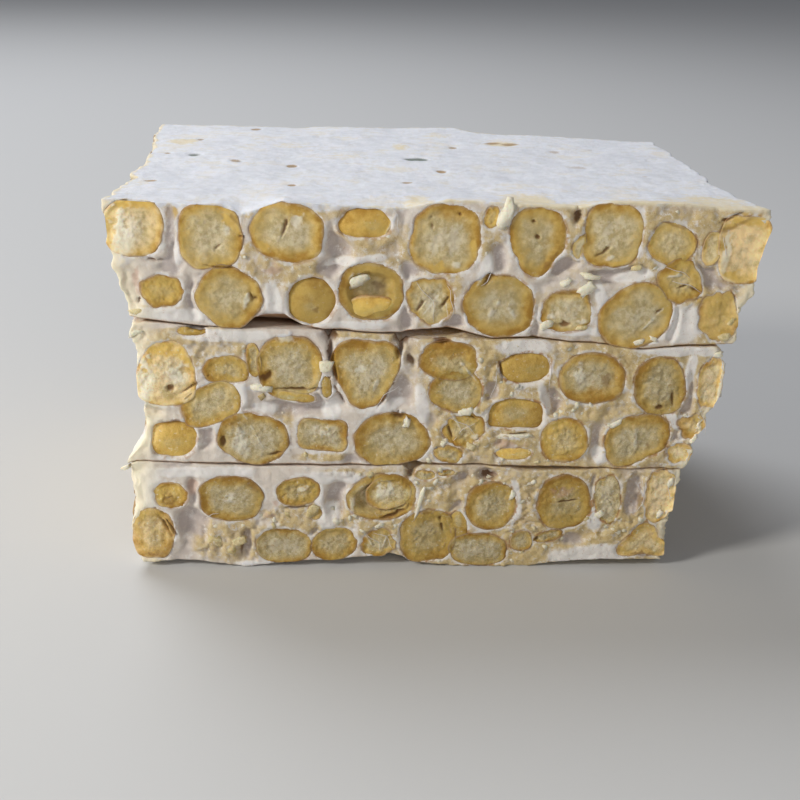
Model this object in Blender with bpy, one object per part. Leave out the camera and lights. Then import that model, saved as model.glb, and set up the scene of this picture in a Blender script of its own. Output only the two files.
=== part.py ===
"""Tempeh cake: three slabs cut from one cake of bound soybeans and stacked face to face.

Metres, +Z up. The front cut faces look along -Y. The origin is the middle of the base that the stack rests on.
"""

import math
from dataclasses import dataclass

import bmesh
import bpy
from mathutils import Vector, noise

MM = 0.001

# The stack as a whole, in millimetres
FRONT_Y = -33.0          # the plane of the front cut faces
SLAB_GAP = 0.34          # clearance between two stacked slabs
EDGE_ROUND = 0.8         # radius of the worn edges
LUMP_SIZE = 10.0         # spacing of the bean-sized lumps on the cut faces
CUT_LUMP = 0.35          # height of those lumps
SKIN_LUMP = 0.30         # height of the soft swells of the white top skin
STEP_WIDTH = 3.0         # how far along the back edge its step takes, to either side
BACK_TAPER = 0.18        # how fast the back edge comes forward beyond the step
SIDE_BOW = 1.8           # depth of the hollow of the left cut side, seen from above
SIDE_BOW_LENGTH = 62.0   # front to back over one such hollow
FLARE_LENGTH = 8.0       # how soon the right side swings back in behind the front

# Heights of the joints and of the top, in millimetres: the value at x = 0 and the rise per mm
LOW_SEAM = (17.75, -0.010)
HIGH_SEAM = (38.75, -0.022)
TOP_SKIN = (58.45, 0.010)
SEAM_WAVE = 0.25
SEAM_WAVE_LENGTH = 46.0

# A shallow dip in the front edge of the top skin
DIP_X = -28.5
DIP_WIDTH = 4.0
DIP_DEPTH = 0.7
DIP_LENGTH = 7.0

# Along the front, the underside curls up off the table, except over the stretch that bears the load
CURL_LEFT = 0.5
CURL_RIGHT = 1.2
CURL_LENGTH = 4.0
BEARING_STRETCH = (4.0, 20.0)
ARCH_X = -4.6
ARCH_WIDTH = 5.0
ARCH_HEIGHT = 1.7
ARCH_LENGTH = 9.0

# The top skin runs out into a thin point over the front right corner
CORNER_REACH = 1.5
CORNER_LENGTH = 3.0
CORNER_LEVEL = 0.8       # the share of the top slab's height where that point starts

# The lattice that carries the form, and the plain block that it starts from
CELLS = (26, 17, 6)
EDGE_CELL = 1.1
BLOCK = Vector((92.0, 62.0, 19.0))


@dataclass
class Slab:
    """One slab: the x of its cut sides at its base, half-way up and its top, and its back edge."""

    name: str
    left: tuple
    right: tuple
    flare: float     # how far the right side swings in behind the front corner
    depth: float     # front to back on the left half
    step_x: float    # where the back edge steps forward
    step: float      # by how much
    phase: float     # shifts the lumps, so that no two slabs are alike
    colour: tuple


SLABS = (
    Slab("slab_bottom", (-44.6, -46.3, -45.6), (38.2, 38.4, 40.0), 0.6, 64.5, -14.0, 1.5, 3.0,
         (0.66, 0.55, 0.36, 1.0)),
    Slab("slab_middle", (-45.6, -43.6, -45.2), (40.2, 43.2, 43.8), 0.8, 65.2, 22.0, 2.5, 17.0,
         (0.70, 0.58, 0.38, 1.0)),
    Slab("slab_top", (-44.8, -46.9, -47.8), (44.6, 46.4, 47.0), 3.1, 66.0, 9.5, 5.5, 31.0,
         (0.74, 0.69, 0.60, 1.0)),
)


def clear_scene():
    """Remove every object of the start-up scene."""
    for item in list(bpy.data.objects):
        bpy.data.objects.remove(item, do_unlink=True)


def smoothstep(low, high, value):
    """Rise from 0 to 1 as value goes from low to high."""
    t = min(max((value - low) / (high - low), 0.0), 1.0)
    return t * t * (3.0 - 2.0 * t)


def through(three, t):
    """Read a gentle curve through three values at t = 0, 0.5 and 1."""
    low, middle, high = three
    return (low * (1.0 - t) * (1.0 - 2.0 * t)
            + middle * 4.0 * t * (1.0 - t)
            + high * t * (2.0 * t - 1.0))


def lump(x, y, z, phase):
    """Uneven height between -1 and 1, in bean-sized lumps."""
    return noise.noise(Vector((x / LUMP_SIZE + phase, y / LUMP_SIZE - phase, z / LUMP_SIZE)))


def seam_height(seam, x):
    """Height of the joint between two slabs."""
    height, rise = seam
    return height + rise * x + SEAM_WAVE * math.sin(2.0 * math.pi * x / SEAM_WAVE_LENGTH)


def skin_height(x, y):
    """Height of the white skin on top of the stack, with its dip and swells."""
    height, rise = TOP_SKIN
    dip = DIP_DEPTH * math.exp(-((x - DIP_X) / DIP_WIDTH) ** 2)
    dip *= 1.0 - smoothstep(0.0, DIP_LENGTH, y - FRONT_Y)
    return height + rise * x - dip + SKIN_LUMP * lump(0.5 * x, 0.5 * y, 0.0, 5.0)


def base_height(x, y):
    """How far the underside stands clear of the table near its front edge."""
    low, high = BEARING_STRETCH
    inward = y - FRONT_Y
    curl = CURL_LEFT * (1.0 - smoothstep(low - 4.0, low, x)) + CURL_RIGHT * smoothstep(high, high + 5.0, x)
    curl *= 1.0 - smoothstep(0.0, CURL_LENGTH, inward)
    arch = ARCH_HEIGHT * math.exp(-((x - ARCH_X) / (0.5 * ARCH_WIDTH)) ** 2)
    return curl + arch * (1.0 - smoothstep(0.0, ARCH_LENGTH, inward))


def slab_depth(slab, x):
    """Front to back at x: a step forward, then a taper."""
    past = x - slab.step_x - STEP_WIDTH
    step = smoothstep(-2.0 * STEP_WIDTH, 0.0, past)
    return slab.depth - slab.step * step - BACK_TAPER * max(past, 0.0)


def lattice_cuts(cells, length):
    """Cut places between -1 and 1: one narrow cell at each end, even cells between."""
    first = -1.0 + 2.0 * EDGE_CELL / length
    inner = cells - 2
    return [first * (1.0 - 2.0 * i / inner) for i in range(inner + 1)]


def latticed_cube():
    """A cube from -1 to 1 whose faces carry the lattice that the slab's form is worked on."""
    mesh = bmesh.new()
    bmesh.ops.create_cube(mesh, size=2.0)
    for axis, cells in enumerate(CELLS):
        normal = Vector((0.0, 0.0, 0.0))
        normal[axis] = 1.0
        for place in lattice_cuts(cells, BLOCK[axis]):
            bmesh.ops.bisect_plane(
                mesh, geom=mesh.verts[:] + mesh.edges[:] + mesh.faces[:],
                plane_co=normal * place, plane_no=normal, dist=1e-5)
    return mesh


def worn(cube_point):
    """Shares along x, y and z of a point of the block, with the block's sharp edges worn round."""
    half = 0.5 * BLOCK
    place = Vector([c * h for c, h in zip(cube_point, half)])
    core = Vector([max(EDGE_ROUND - h, min(h - EDGE_ROUND, p)) for p, h in zip(place, half)])
    reach = place - core
    if reach.length > EDGE_ROUND:
        reach.length = EDGE_ROUND
    return [0.5 + 0.5 * p / h for p, h in zip(core + reach, half)]


def outward(share):
    """Which way a cut face looks, from -1 to 1, and 0 away from both faces."""
    return math.copysign(smoothstep(0.48, 0.5, abs(share - 0.5)), share - 0.5)


def slab_point(slab, level, cube_point):
    """Carry a point of the -1 to 1 cube to its place on the slab, in millimetres."""
    a, b, c = worn(cube_point)
    inward = b * BLOCK.y
    top = level == len(SLABS) - 1

    bow = 0.5 * SIDE_BOW * (1.0 - math.cos(2.0 * math.pi * inward / SIDE_BOW_LENGTH))
    left = through(slab.left, c) + bow
    right = through(slab.right, c) - slab.flare * (1.0 - math.exp(-inward / FLARE_LENGTH))
    if top:
        right += CORNER_REACH * smoothstep(CORNER_LEVEL, 1.0, c) * math.exp(-inward / CORNER_LENGTH)
    x = left + (right - left) * a
    y = FRONT_Y + slab_depth(slab, x) * b

    seams = (LOW_SEAM, HIGH_SEAM)
    low = base_height(x, y) if level == 0 else seam_height(seams[level - 1], x) + 0.5 * SLAB_GAP
    high = skin_height(x, y) if top else seam_height(seams[level], x) - 0.5 * SLAB_GAP
    z = low + (high - low) * c

    swell = CUT_LUMP * lump(x, y, z, slab.phase)
    return Vector((x + swell * outward(a), y + swell * outward(b), z))


def food_material(slab):
    """Matt, pale finish of cut tempeh under its white skin."""
    material = bpy.data.materials.new(slab.name + "_finish")
    material.use_nodes = True
    shader = material.node_tree.nodes["Principled BSDF"]
    shader.inputs["Base Color"].default_value = slab.colour
    shader.inputs["Roughness"].default_value = 0.72
    shader.inputs["Metallic"].default_value = 0.0
    return material


def make_slab(slab, level, collection):
    """Model one slab and put it in the collection."""
    mesh = latticed_cube()
    for vert in mesh.verts:
        vert.co = slab_point(slab, level, vert.co) * MM
    bmesh.ops.recalc_face_normals(mesh, faces=mesh.faces[:])
    data = bpy.data.meshes.new(slab.name)
    mesh.to_mesh(data)
    mesh.free()
    data.materials.append(food_material(slab))
    data.shade_smooth()
    data.set_sharp_from_angle(angle=math.radians(40.0))
    collection.objects.link(bpy.data.objects.new(slab.name, data))


def main():
    """Build the stack from the base up."""
    clear_scene()
    collection = bpy.data.collections.new("tempeh_cake")
    bpy.context.scene.collection.children.link(collection)
    for level, slab in enumerate(SLABS):
        make_slab(slab, level, collection)


main()
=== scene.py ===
"""Looks of the tempeh cake: three slabs of soybeans bound in white mycelium, stacked face to face.

Each slab is a body of mycelium with relief on its cut walls, a set of cut soybeans set into those walls, and
the chips, crumbs and threads that the knife left. Lengths are in millimetres in the frame's own axes until a
mesh is written, where they become metres. The front walls are laid out one by one; the other walls follow
rules.
"""

import logging
import math
from dataclasses import dataclass
from enum import Enum
from itertools import product
from typing import Callable, Sequence

import bmesh
import bpy
import numpy as np
from mathutils import Matrix, Vector


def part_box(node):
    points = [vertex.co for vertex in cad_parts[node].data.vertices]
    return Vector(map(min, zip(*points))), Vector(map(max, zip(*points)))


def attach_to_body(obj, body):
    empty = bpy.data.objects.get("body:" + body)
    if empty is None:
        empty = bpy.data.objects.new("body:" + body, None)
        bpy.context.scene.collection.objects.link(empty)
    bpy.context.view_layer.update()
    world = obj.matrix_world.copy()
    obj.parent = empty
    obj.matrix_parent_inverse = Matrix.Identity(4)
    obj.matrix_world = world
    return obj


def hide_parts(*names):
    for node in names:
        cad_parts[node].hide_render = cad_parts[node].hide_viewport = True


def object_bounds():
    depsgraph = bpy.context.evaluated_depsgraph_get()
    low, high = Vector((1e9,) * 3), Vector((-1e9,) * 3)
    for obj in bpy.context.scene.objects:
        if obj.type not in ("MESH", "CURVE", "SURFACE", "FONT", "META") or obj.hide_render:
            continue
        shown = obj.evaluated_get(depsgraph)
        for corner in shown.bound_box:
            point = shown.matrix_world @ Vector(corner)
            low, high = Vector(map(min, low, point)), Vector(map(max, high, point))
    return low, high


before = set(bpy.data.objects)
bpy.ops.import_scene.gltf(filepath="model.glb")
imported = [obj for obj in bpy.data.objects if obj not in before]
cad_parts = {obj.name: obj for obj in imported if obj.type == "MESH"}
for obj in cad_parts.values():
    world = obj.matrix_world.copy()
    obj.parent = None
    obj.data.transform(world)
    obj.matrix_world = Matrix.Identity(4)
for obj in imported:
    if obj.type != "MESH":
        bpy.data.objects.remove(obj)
cad_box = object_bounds()

MM = 0.001
HASH = np.array((73856093, 19349663, 83492791))    # one large prime for each axis of the noise's lattice
log = logging.getLogger("tempeh_cake")

Array = np.ndarray
Shares = dict[str, Array]
Rows = Sequence[Sequence[float]]
Triple = tuple[float, float, float]
Rgb = Triple
Piece = bpy.types.Object
Material = bpy.types.Material
Socket = bpy.types.NodeSocket


def smooth(low: float, high: float, value: Array) -> Array:
    """Rise from 0 to 1 as value goes from low to high, with soft ends.

    Args:
        low: value at which the rise starts.
        high: value at which it ends; it may lie below low, for a fall.
        value: where to read it.

    Returns:
        The share reached at each value.
    """
    t = np.clip((value - low) / (high - low), 0.0, 1.0)
    return t * t * (3.0 - 2.0 * t)


def cloud(points: Array, size: float, seed: int = 0) -> Array:
    """Smooth value noise between -1 and 1.

    Args:
        points: places, one row each, in millimetres.
        size: spacing of the noise's lumps.
        seed: picks one of many unlike clouds.

    Returns:
        One value for each place.
    """
    place = points / size + 19.7 * seed
    cell = np.floor(place).astype(np.int64)
    part = place - cell
    part = part * part * (3.0 - 2.0 * part)
    total = np.zeros(len(points))
    for corner in product((0, 1), repeat=3):
        mixed = np.bitwise_xor.reduce(((cell + np.array(corner)) & 0xFFFFFF) * HASH, axis=1)
        mixed = (mixed ^ (mixed >> 13)) * 1274126177 & 0x7FFFFFFF
        mixed = (mixed ^ (mixed >> 16)) & 0xFFFF
        weight = np.prod(np.where(np.array(corner) == 1, part, 1.0 - part), axis=1)
        total += weight * (mixed / 32767.5 - 1.0)
    return total


def clouds(points: Array, size: float, seed: int = 0, octaves: int = 3) -> Array:
    """Add up finer and finer clouds, each half as strong as the one before.

    Args:
        points: places, one row each, in millimetres.
        size: spacing of the largest lumps.
        seed: picks one of many unlike clouds.
        octaves: how many clouds are added.

    Returns:
        One value for each place, between about -1 and 1.
    """
    shares = [0.5 ** octave for octave in range(octaves)]
    total = np.zeros(len(points))
    for octave, share in enumerate(shares):
        total += cloud(points, size * share, seed + 7 * octave) * share
    return total / sum(shares)


def through(three: Sequence[float], t: Array) -> Array:
    """Read a gentle curve through three values at t = 0, 0.5 and 1."""
    low, middle, high = three
    return low * (1.0 - t) * (1.0 - 2.0 * t) + middle * 4.0 * t * (1.0 - t) + high * t * (2.0 * t - 1.0)


def turned(u: Array, v: Array, degrees: float) -> tuple[Array, Array]:
    """Read u and v along axes turned anticlockwise by that many degrees."""
    c, s = math.cos(math.radians(degrees)), math.sin(math.radians(degrees))
    return c * u + s * v, c * v - s * u


def edge_line(line: Sequence[float], at: Array) -> Array:
    """Read a line given as place, value, place, value and so on, in order of place."""
    return np.interp(at, line[::2], line[1::2])


# What lies in a cut wall

class Wall(Enum):
    """The four upright walls that the knife cut."""

    FRONT = "front"
    BACK = "back"
    LEFT = "left"
    RIGHT = "right"


class Cut(Enum):
    """How the knife met a bean."""

    FLAT = "sliced through: a flat pale face in a golden rim"
    DOME = "missed: the whole bean's golden skin shows"
    CRUMBLY = "torn open: a rough mealy face"
    HOLLOW = "sliced, with part of the inside fallen out"


class Fill(Enum):
    """What fills a place between the beans."""

    # a pocket's lilac-grey is partly its own tint and partly painted shade in the hollow
    POCKET = "smooth hollow lined with lilac-grey mycelium"
    WHITE = "thick smooth white mycelium"
    CREAM = "mealy cream paste of bean"
    VOID = "a deep gap"


class Touch(Enum):
    """A small mark across beans and mycelium alike: the colour that it raises, and by how much."""

    # cracks and holes are painted dark brown: partly their own brown, partly painted shade in them
    SLIT = ("dark", 0.85)      # a crack
    HOLE = ("dark", 1.0)       # a deep hole
    BROWN = ("dark", 0.62)     # a stain with no depth
    GOLD = ("gold", 1.0)
    PALE = ("pale", 0.8)       # a raised white or cream flake
    PINK = ("pink", 0.9)


@dataclass(frozen=True)
class Bean:
    """One soybean in a wall; u runs along the wall and v is the height.

    square is the outline's exponent (2 is an ellipse), egg points its lower end, flat cuts its lower end off
    and bumps makes it uneven. tone runs from pale (0) to golden (1). light scales its brightness, partly its
    own tone and partly painted light, with beans at the slabs' lit ends set brighter. warm paints
    the peach glow of light shining through a thin lit edge.
    """

    seed: int
    u: float
    v: float
    width: float
    height: float
    turn: float = 0.0
    cut: Cut = Cut.FLAT
    rim: float = 1.1
    tone: float = 0.3
    square: float = 2.3
    light: float = 1.0
    egg: float = 0.0
    flat: float = 0.0
    bumps: float = 0.03
    warm: float = 0.0

    @property
    def smaller(self) -> float:
        """The smaller of its two half sizes."""
        return 0.5 * min(self.width, self.height)

    @property
    def larger(self) -> float:
        """The larger of its two sizes."""
        return max(self.width, self.height)

    def outline(self, angle: Array) -> Array:
        """Share of the ellipse's radius that the outline reaches at an angle.

        Args:
            angle: angles round its middle, before its turn.

        Returns:
            One share for each angle.
        """
        c, s = np.cos(angle), np.sin(angle)
        whole = 1.06 if self.cut is Cut.DOME else 1.0
        reach = whole * (np.abs(c) ** self.square + np.abs(s) ** self.square) ** (-1.0 / self.square)
        reach *= 1.0 + self.egg * s * c * c
        if self.flat:
            floor = np.minimum((1.0 - self.flat) / np.maximum(-s, 1e-6), 9.0)
            reach = np.where(s < 0.0, -np.log(np.exp(-9.0 * reach) + np.exp(-9.0 * floor)) / 9.0, reach)
        draw = np.random.default_rng(1000 + self.seed)
        for waves in (2, 3, 4, 5, 7, 10, 14):
            reach = reach + self.bumps * draw.uniform(0.3, 1.0) * np.sin(
                waves * angle + draw.uniform(0.0, 2.0 * math.pi)) * (2.0 / waves) ** 0.6
        return reach

    def rim_width(self, angle: Array) -> Array:
        """Width of the golden rim, broader on one side than on the other."""
        lean, twist = np.random.default_rng(3000 + self.seed).uniform(0.0, 2.0 * math.pi, 2)
        return self.rim * (1.0 + 0.5 * np.cos(angle - lean) + 0.3 * np.sin(2.0 * angle + twist))

    def gap(self, u: Array, v: Array) -> Array:
        """Distance from the bean's outline, negative inside it."""
        p, q = turned(u - self.u, v - self.v, self.turn)
        radius = np.hypot(p, q)
        share = np.maximum(np.hypot(2.0 * p / self.width, 2.0 * q / self.height), 1e-6)
        return radius - radius / share * self.outline(np.arctan2(q / self.height, p / self.width))


@dataclass(frozen=True)
class Patch:
    """A filled place between the beans."""

    fill: Fill
    u: float
    v: float
    width: float
    height: float
    turn: float = 0.0
    depth: float = 1.0

    def share(self, u: Array, v: Array, wobble: Array) -> Array:
        """How much of the patch there is at each place, from 0 to 1."""
        p, q = turned(u - self.u, v - self.v, self.turn)
        ratio = (np.abs(2.0 * p / self.width) ** 2.4 + np.abs(2.0 * q / self.height) ** 2.4) ** (1.0 / 2.4)
        return smooth(1.3, 0.7, ratio + 0.35 * wobble)


@dataclass(frozen=True)
class Mark:
    """A small mark: long and wide along its own turned axes."""

    touch: Touch
    u: float
    v: float
    long: float
    wide: float
    turn: float = 0.0
    depth: float = 0.5

    def share(self, u: Array, v: Array, wobble: Array) -> Array:
        """How much of the mark there is at each place, from 0 to 1."""
        p, q = turned(u - self.u, v - self.v, self.turn)
        q = q + 0.30 * self.wide * wobble
        ratio = np.hypot(2.0 * p / self.long, 2.0 * q / self.wide)
        return smooth(1.45, 0.35, ratio + 0.3 * wobble)


@dataclass
class Layout:
    """Everything in one wall."""

    beans: list[Bean]
    patches: list[Patch]
    marks: list[Mark]
    flake: float = 0.15      # how far a pale flake stands out

    def touched(self, u: Array, v: Array) -> Shares:
        """Colour shares and depth that the marks give each place.

        Args:
            u: places along the wall.
            v: heights.

        Returns:
            The arrays dark, gold, pale, pink and sink; sink is in millimetres.
        """
        found = {name: np.zeros(len(u)) for name in ("dark", "gold", "pale", "pink", "sink")}
        if not len(u):
            return found
        flat = np.column_stack((u, np.zeros(len(u)), v))
        wobble = cloud(flat, 0.8, 3) + 0.6 * cloud(flat, 0.35, 4)
        for mark in self.marks:
            near = np.hypot(u - mark.u, v - mark.v) < mark.long + mark.wide
            share = mark.share(u[near], v[near], wobble[near])
            name, strength = mark.touch.value
            found[name][near] = np.maximum(found[name][near], strength * share)
            if mark.touch in (Touch.SLIT, Touch.HOLE):
                found["sink"][near] = np.maximum(found["sink"][near], mark.depth * share)
            if mark.touch is Touch.PALE:
                found["sink"][near] -= self.flake * share
        return found


# The form of a slab

@dataclass(frozen=True)
class Stack:
    """Sizes that all three slabs share."""

    seams: Rows = ((17.75, -0.010), (38.75, -0.022))    # height of each joint at x = 0, and its rise per mm
    skin: tuple[float, float] = (58.45, 0.010)          # the same of the top
    wave: float = 0.25             # height of the joints' waves
    wave_length: float = 46.0
    gap: float = 0.34              # clearance between two slabs
    edge: float = 0.22             # radius of the cut edges
    bow: float = 1.8               # hollow of the left wall, seen from above
    bow_length: float = 62.0
    flare_length: float = 8.0
    step_width: float = 3.0
    back_taper: float = 0.18
    front_reach: float = 6.0       # how far in the front edge's own lines carry
    end_reach: float = 2.5         # the same of the lines of its two ends
    wall_lump: float = 0.25        # height of the lumps of the cut walls
    block: Triple = (92.0, 62.0, 19.0)    # the plain block that each body starts from

    def joint(self, number: int, x: Array) -> Array:
        """Height of the joint over slab 0 or slab 1."""
        height, rise = self.seams[number]
        return height + rise * x + self.wave * np.sin(2.0 * math.pi * x / self.wave_length)


STACK = Stack()
FRONT_PLANES = {name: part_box(name)[0].y / MM + STACK.wall_lump
                for name in ("slab_bottom", "slab_middle", "slab_top")}


@dataclass(frozen=True)
class Form:
    """One slab's shape: x of its cut sides at base, middle and top, its back edge and its front edges' lines.

    The lines are x, z, x, z and so on for the upper and lower front edges, and z, x, z, x for the two ends.
    grain is how roughly the slab was cut. ripe says where along x the golden paste of bean sets in, where it
    is full, and how much there is then. crumbs is how many lie on the front.
    """

    node: str
    level: int
    left: Triple
    right: Triple
    flare: float
    depth: float
    step_x: float
    step: float
    grain: float
    ripe: Triple
    crumbs: int
    upper: Sequence[float]
    lower: Sequence[float]
    left_end: Sequence[float]
    right_end: Sequence[float]

    @property
    def front(self) -> float:
        """Where the front wall stands, in millimetres, from the frame's own box."""
        return FRONT_PLANES[self.node]

    def ripeness(self, points: Array) -> Array:
        """How much golden paste of bean, instead of white mycelium, binds the beans at each place."""
        x, y, _ = points.T
        start, end, most = self.ripe
        laid = 0.02 + most * smooth(start, end, x)
        near = smooth(9.0, 3.0, y - self.front)
        return laid * near + 0.55 * (1.0 - near) + 0.35 * clouds(points, 6.0, 31, 2)

    def back_y(self, x: Array) -> Array:
        """Where the back wall stands at x: a step forward, then a taper."""
        past = x - self.step_x - STACK.step_width
        step = smooth(-2.0 * STACK.step_width, 0.0, past)
        return self.front + self.depth - self.step * step - STACK.back_taper * np.maximum(past, 0.0)

    def fronted(self, inner: Array, line: Array, y: Array) -> Array:
        """Go over from the front edge's own line to the inner height, from the front wall backwards."""
        near = 1.0 - smooth(0.0, STACK.front_reach, y - self.front)
        return inner * (1.0 - near) + line * near

    def low(self, x: Array, y: Array) -> Array:
        """Height of the underside."""
        inner = STACK.joint(self.level - 1, x) + 0.5 * STACK.gap if self.level else np.zeros_like(x)
        return self.fronted(inner, np.maximum(edge_line(self.lower, x), 0.0), y)

    def high(self, x: Array, y: Array) -> Array:
        """Height of the upper side."""
        if self.level < 2:
            inner = STACK.joint(self.level, x) - 0.5 * STACK.gap
        else:
            inner = STACK.skin[0] + STACK.skin[1] * x
        return self.fronted(inner, edge_line(self.upper, x), y)

    def end_x(self, wall: Wall, y: Array, z: Array) -> Array:
        """Where the left or the right wall stands at a depth and a height.

        Args:
            wall: the left or the right one.
            y: places front to back.
            z: heights.

        Returns:
            The x of each place.
        """
        base, top = self.low(np.zeros_like(z), y), self.high(np.zeros_like(z), y)
        share = np.clip((z - base) / (top - base), 0.0, 1.0)
        inward = y - self.front
        if wall is Wall.LEFT:
            bow = 0.5 * STACK.bow * (1.0 - np.cos(2.0 * math.pi * inward / STACK.bow_length))
            inner, line = through(self.left, share) + bow, edge_line(self.left_end, z)
        else:
            inner = through(self.right, share) - self.flare * (1.0 - np.exp(-inward / STACK.flare_length))
            line = edge_line(self.right_end, z)
        return inner + (line - inner) * np.exp(-np.maximum(inward, 0.0) / STACK.end_reach)

    def place(self, a: Array, b: Array, c: Array) -> Array:
        """Carry shares along x, y and z to places on the slab, in millimetres.

        Args:
            a: shares from its left to its right wall.
            b: shares from front to back.
            c: shares from its underside to its upper side.

        Returns:
            The places, one row each.
        """
        y = self.front + b * self.depth
        level = self.low(np.zeros_like(a), y) * (1.0 - c) + self.high(np.zeros_like(a), y) * c
        left, right = self.end_x(Wall.LEFT, y, level), self.end_x(Wall.RIGHT, y, level)
        x = left + (right - left) * a
        y = self.front + (self.back_y(x) - self.front) * b
        low, high = self.low(x, y), self.high(x, y)
        return np.column_stack((x, y, low + (high - low) * c))

    def wall(self, wall: Wall, u: Array, v: Array) -> tuple[Array, Array, Array]:
        """Carry places along a wall to places in space.

        Args:
            wall: which wall.
            u: x on the front and the back, y on the two ends.
            v: heights.

        Returns:
            The x, y and z of the wall's surface there.
        """
        if wall is Wall.FRONT:
            return u, np.full_like(u, self.front), v
        if wall is Wall.BACK:
            return u, self.back_y(u), v
        return self.end_x(wall, u, v), u, v

    def behind(self, wall: Wall, x: Array, y: Array, z: Array) -> Array:
        """How far places lie inside a wall.

        Args:
            wall: which wall.
            x: places across.
            y: places front to back.
            z: heights.

        Returns:
            The distances, negative outside it.
        """
        if wall is Wall.FRONT:
            return y - self.front
        if wall is Wall.BACK:
            return self.back_y(x) - y
        return x - self.end_x(wall, y, z) if wall is Wall.LEFT else self.end_x(wall, y, z) - x


OUTWARD = {Wall.FRONT: (0.0, -1.0), Wall.BACK: (0.0, 1.0), Wall.LEFT: (-1.0, 0.0), Wall.RIGHT: (1.0, 0.0)}
LONG_WALLS = (Wall.FRONT, Wall.BACK)


# Front walls, laid out one by one

FLAT, DOME, CRUMBLY, HOLLOW = Cut
POCKET, WHITE, CREAM, VOID = Fill
SLIT, HOLE, BROWN, GOLD, PALE, PINK = Touch

# light is partly painted light, set brighter at the slabs' lit ends; warm paints the peach glow there
TOP_BEANS = (
    Bean(1, -43.9, 54.3, 8.4, 8.5, 0, FLAT, 0.8, 0.15, 2.7, 1.14, warm=0.45),
    Bean(2, -33.2, 53.3, 9, 10.2, 0, FLAT, 0.8, 0.3, 2.5, 1.03),
    Bean(3, -22.2, 53.9, 10.6, 8.9, -12, FLAT, 1.4, 0.25, 2.2, 1.04),
    Bean(4, -11.2, 55.7, 7.3, 4.9, 180, DOME, 1, 0.9, 2.1, 1.15, egg=0.3, flat=0.15),
    Bean(5, 0.5, 53.3, 10.4, 10.4, 0, FLAT, 1.3, 0.06, 2.5, 1.02),
    Bean(6, 13.8, 53.1, 8.2, 10.4, 0, FLAT, 1.5, 0.4, 2.1, 0.95, egg=0.3),
    Bean(7, 24.7, 54.3, 8.8, 9.4, 0, FLAT, 1, 0.12, 3, 1.04),
    Bean(8, 33.6, 53.1, 7.2, 6.3, -25, FLAT, 0.5, 0.4, 2.4, 1.05),
    Bean(9, 39.6, 52.6, 3, 5.3, -6, FLAT, 0.4, 0.4, 2.1, 1.2, warm=0.2),
    Bean(10, 44.4, 52.6, 8, 10.4, 0, FLAT, 0.6, 0.3, 2.8, 1.1, bumps=0.04, warm=1.3),
    Bean(11, -40.3, 45, 6.2, 4.7, 8, CRUMBLY, 0.8, 0.85, 2.5, bumps=0.08),
    Bean(12, -30.7, 44.2, 9.6, 8.8, -40, FLAT, 1.1, 0.34, 2.4, 0.93),
    Bean(13, -18.7, 43.7, 7.1, 7.2, 20, DOME, 1.1, 0.85, 2, 0.8, bumps=0.015),
    Bean(14, -10.1, 45.2, 9.6, 9, 0, HOLLOW, 1.3, 0.55, 2.3, 0.82, flat=0.08),
    Bean(16, 8.8, 43.4, 10.8, 9.6, -10, FLAT, 1.5, 0.3, 2.2, 0.9),
    Bean(17, 18.9, 42.7, 7.8, 6.2, 0, CRUMBLY, 0.8, 0.05, 2.7, bumps=0.05),
    Bean(18, 29.3, 42.1, 11.3, 9.9, 35, FLAT, 1, 0.3, 2.1, 0.95),
    Bean(19, 35.4, 47.6, 6, 7, 30, CRUMBLY, 0.8, 0.55, 2.5, bumps=0.07),
    Bean(20, 41.9, 42.3, 5.6, 8, 10, CRUMBLY, 0.8, 0.95, 2.6, bumps=0.11, warm=0.45),
    Bean(15, -1.3, 44.2, 7, 7, 20, CRUMBLY, 0.7, 0.05, 2.3, bumps=0.08),
    Bean(24, -10, 42.7, 6.8, 3.6, 0, DOME, 0.8, 1, 2.6, 1.25),
    Bean(22, 6.9, 56.6, 2.2, 3.4, -10, CRUMBLY, 0.5, 0.8, 2.2, 1.1, bumps=0.08),
    Bean(23, 20, 52.6, 2, 3.6, -12, CRUMBLY, 0.5, 0.5, 2.2, bumps=0.08),
)
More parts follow.
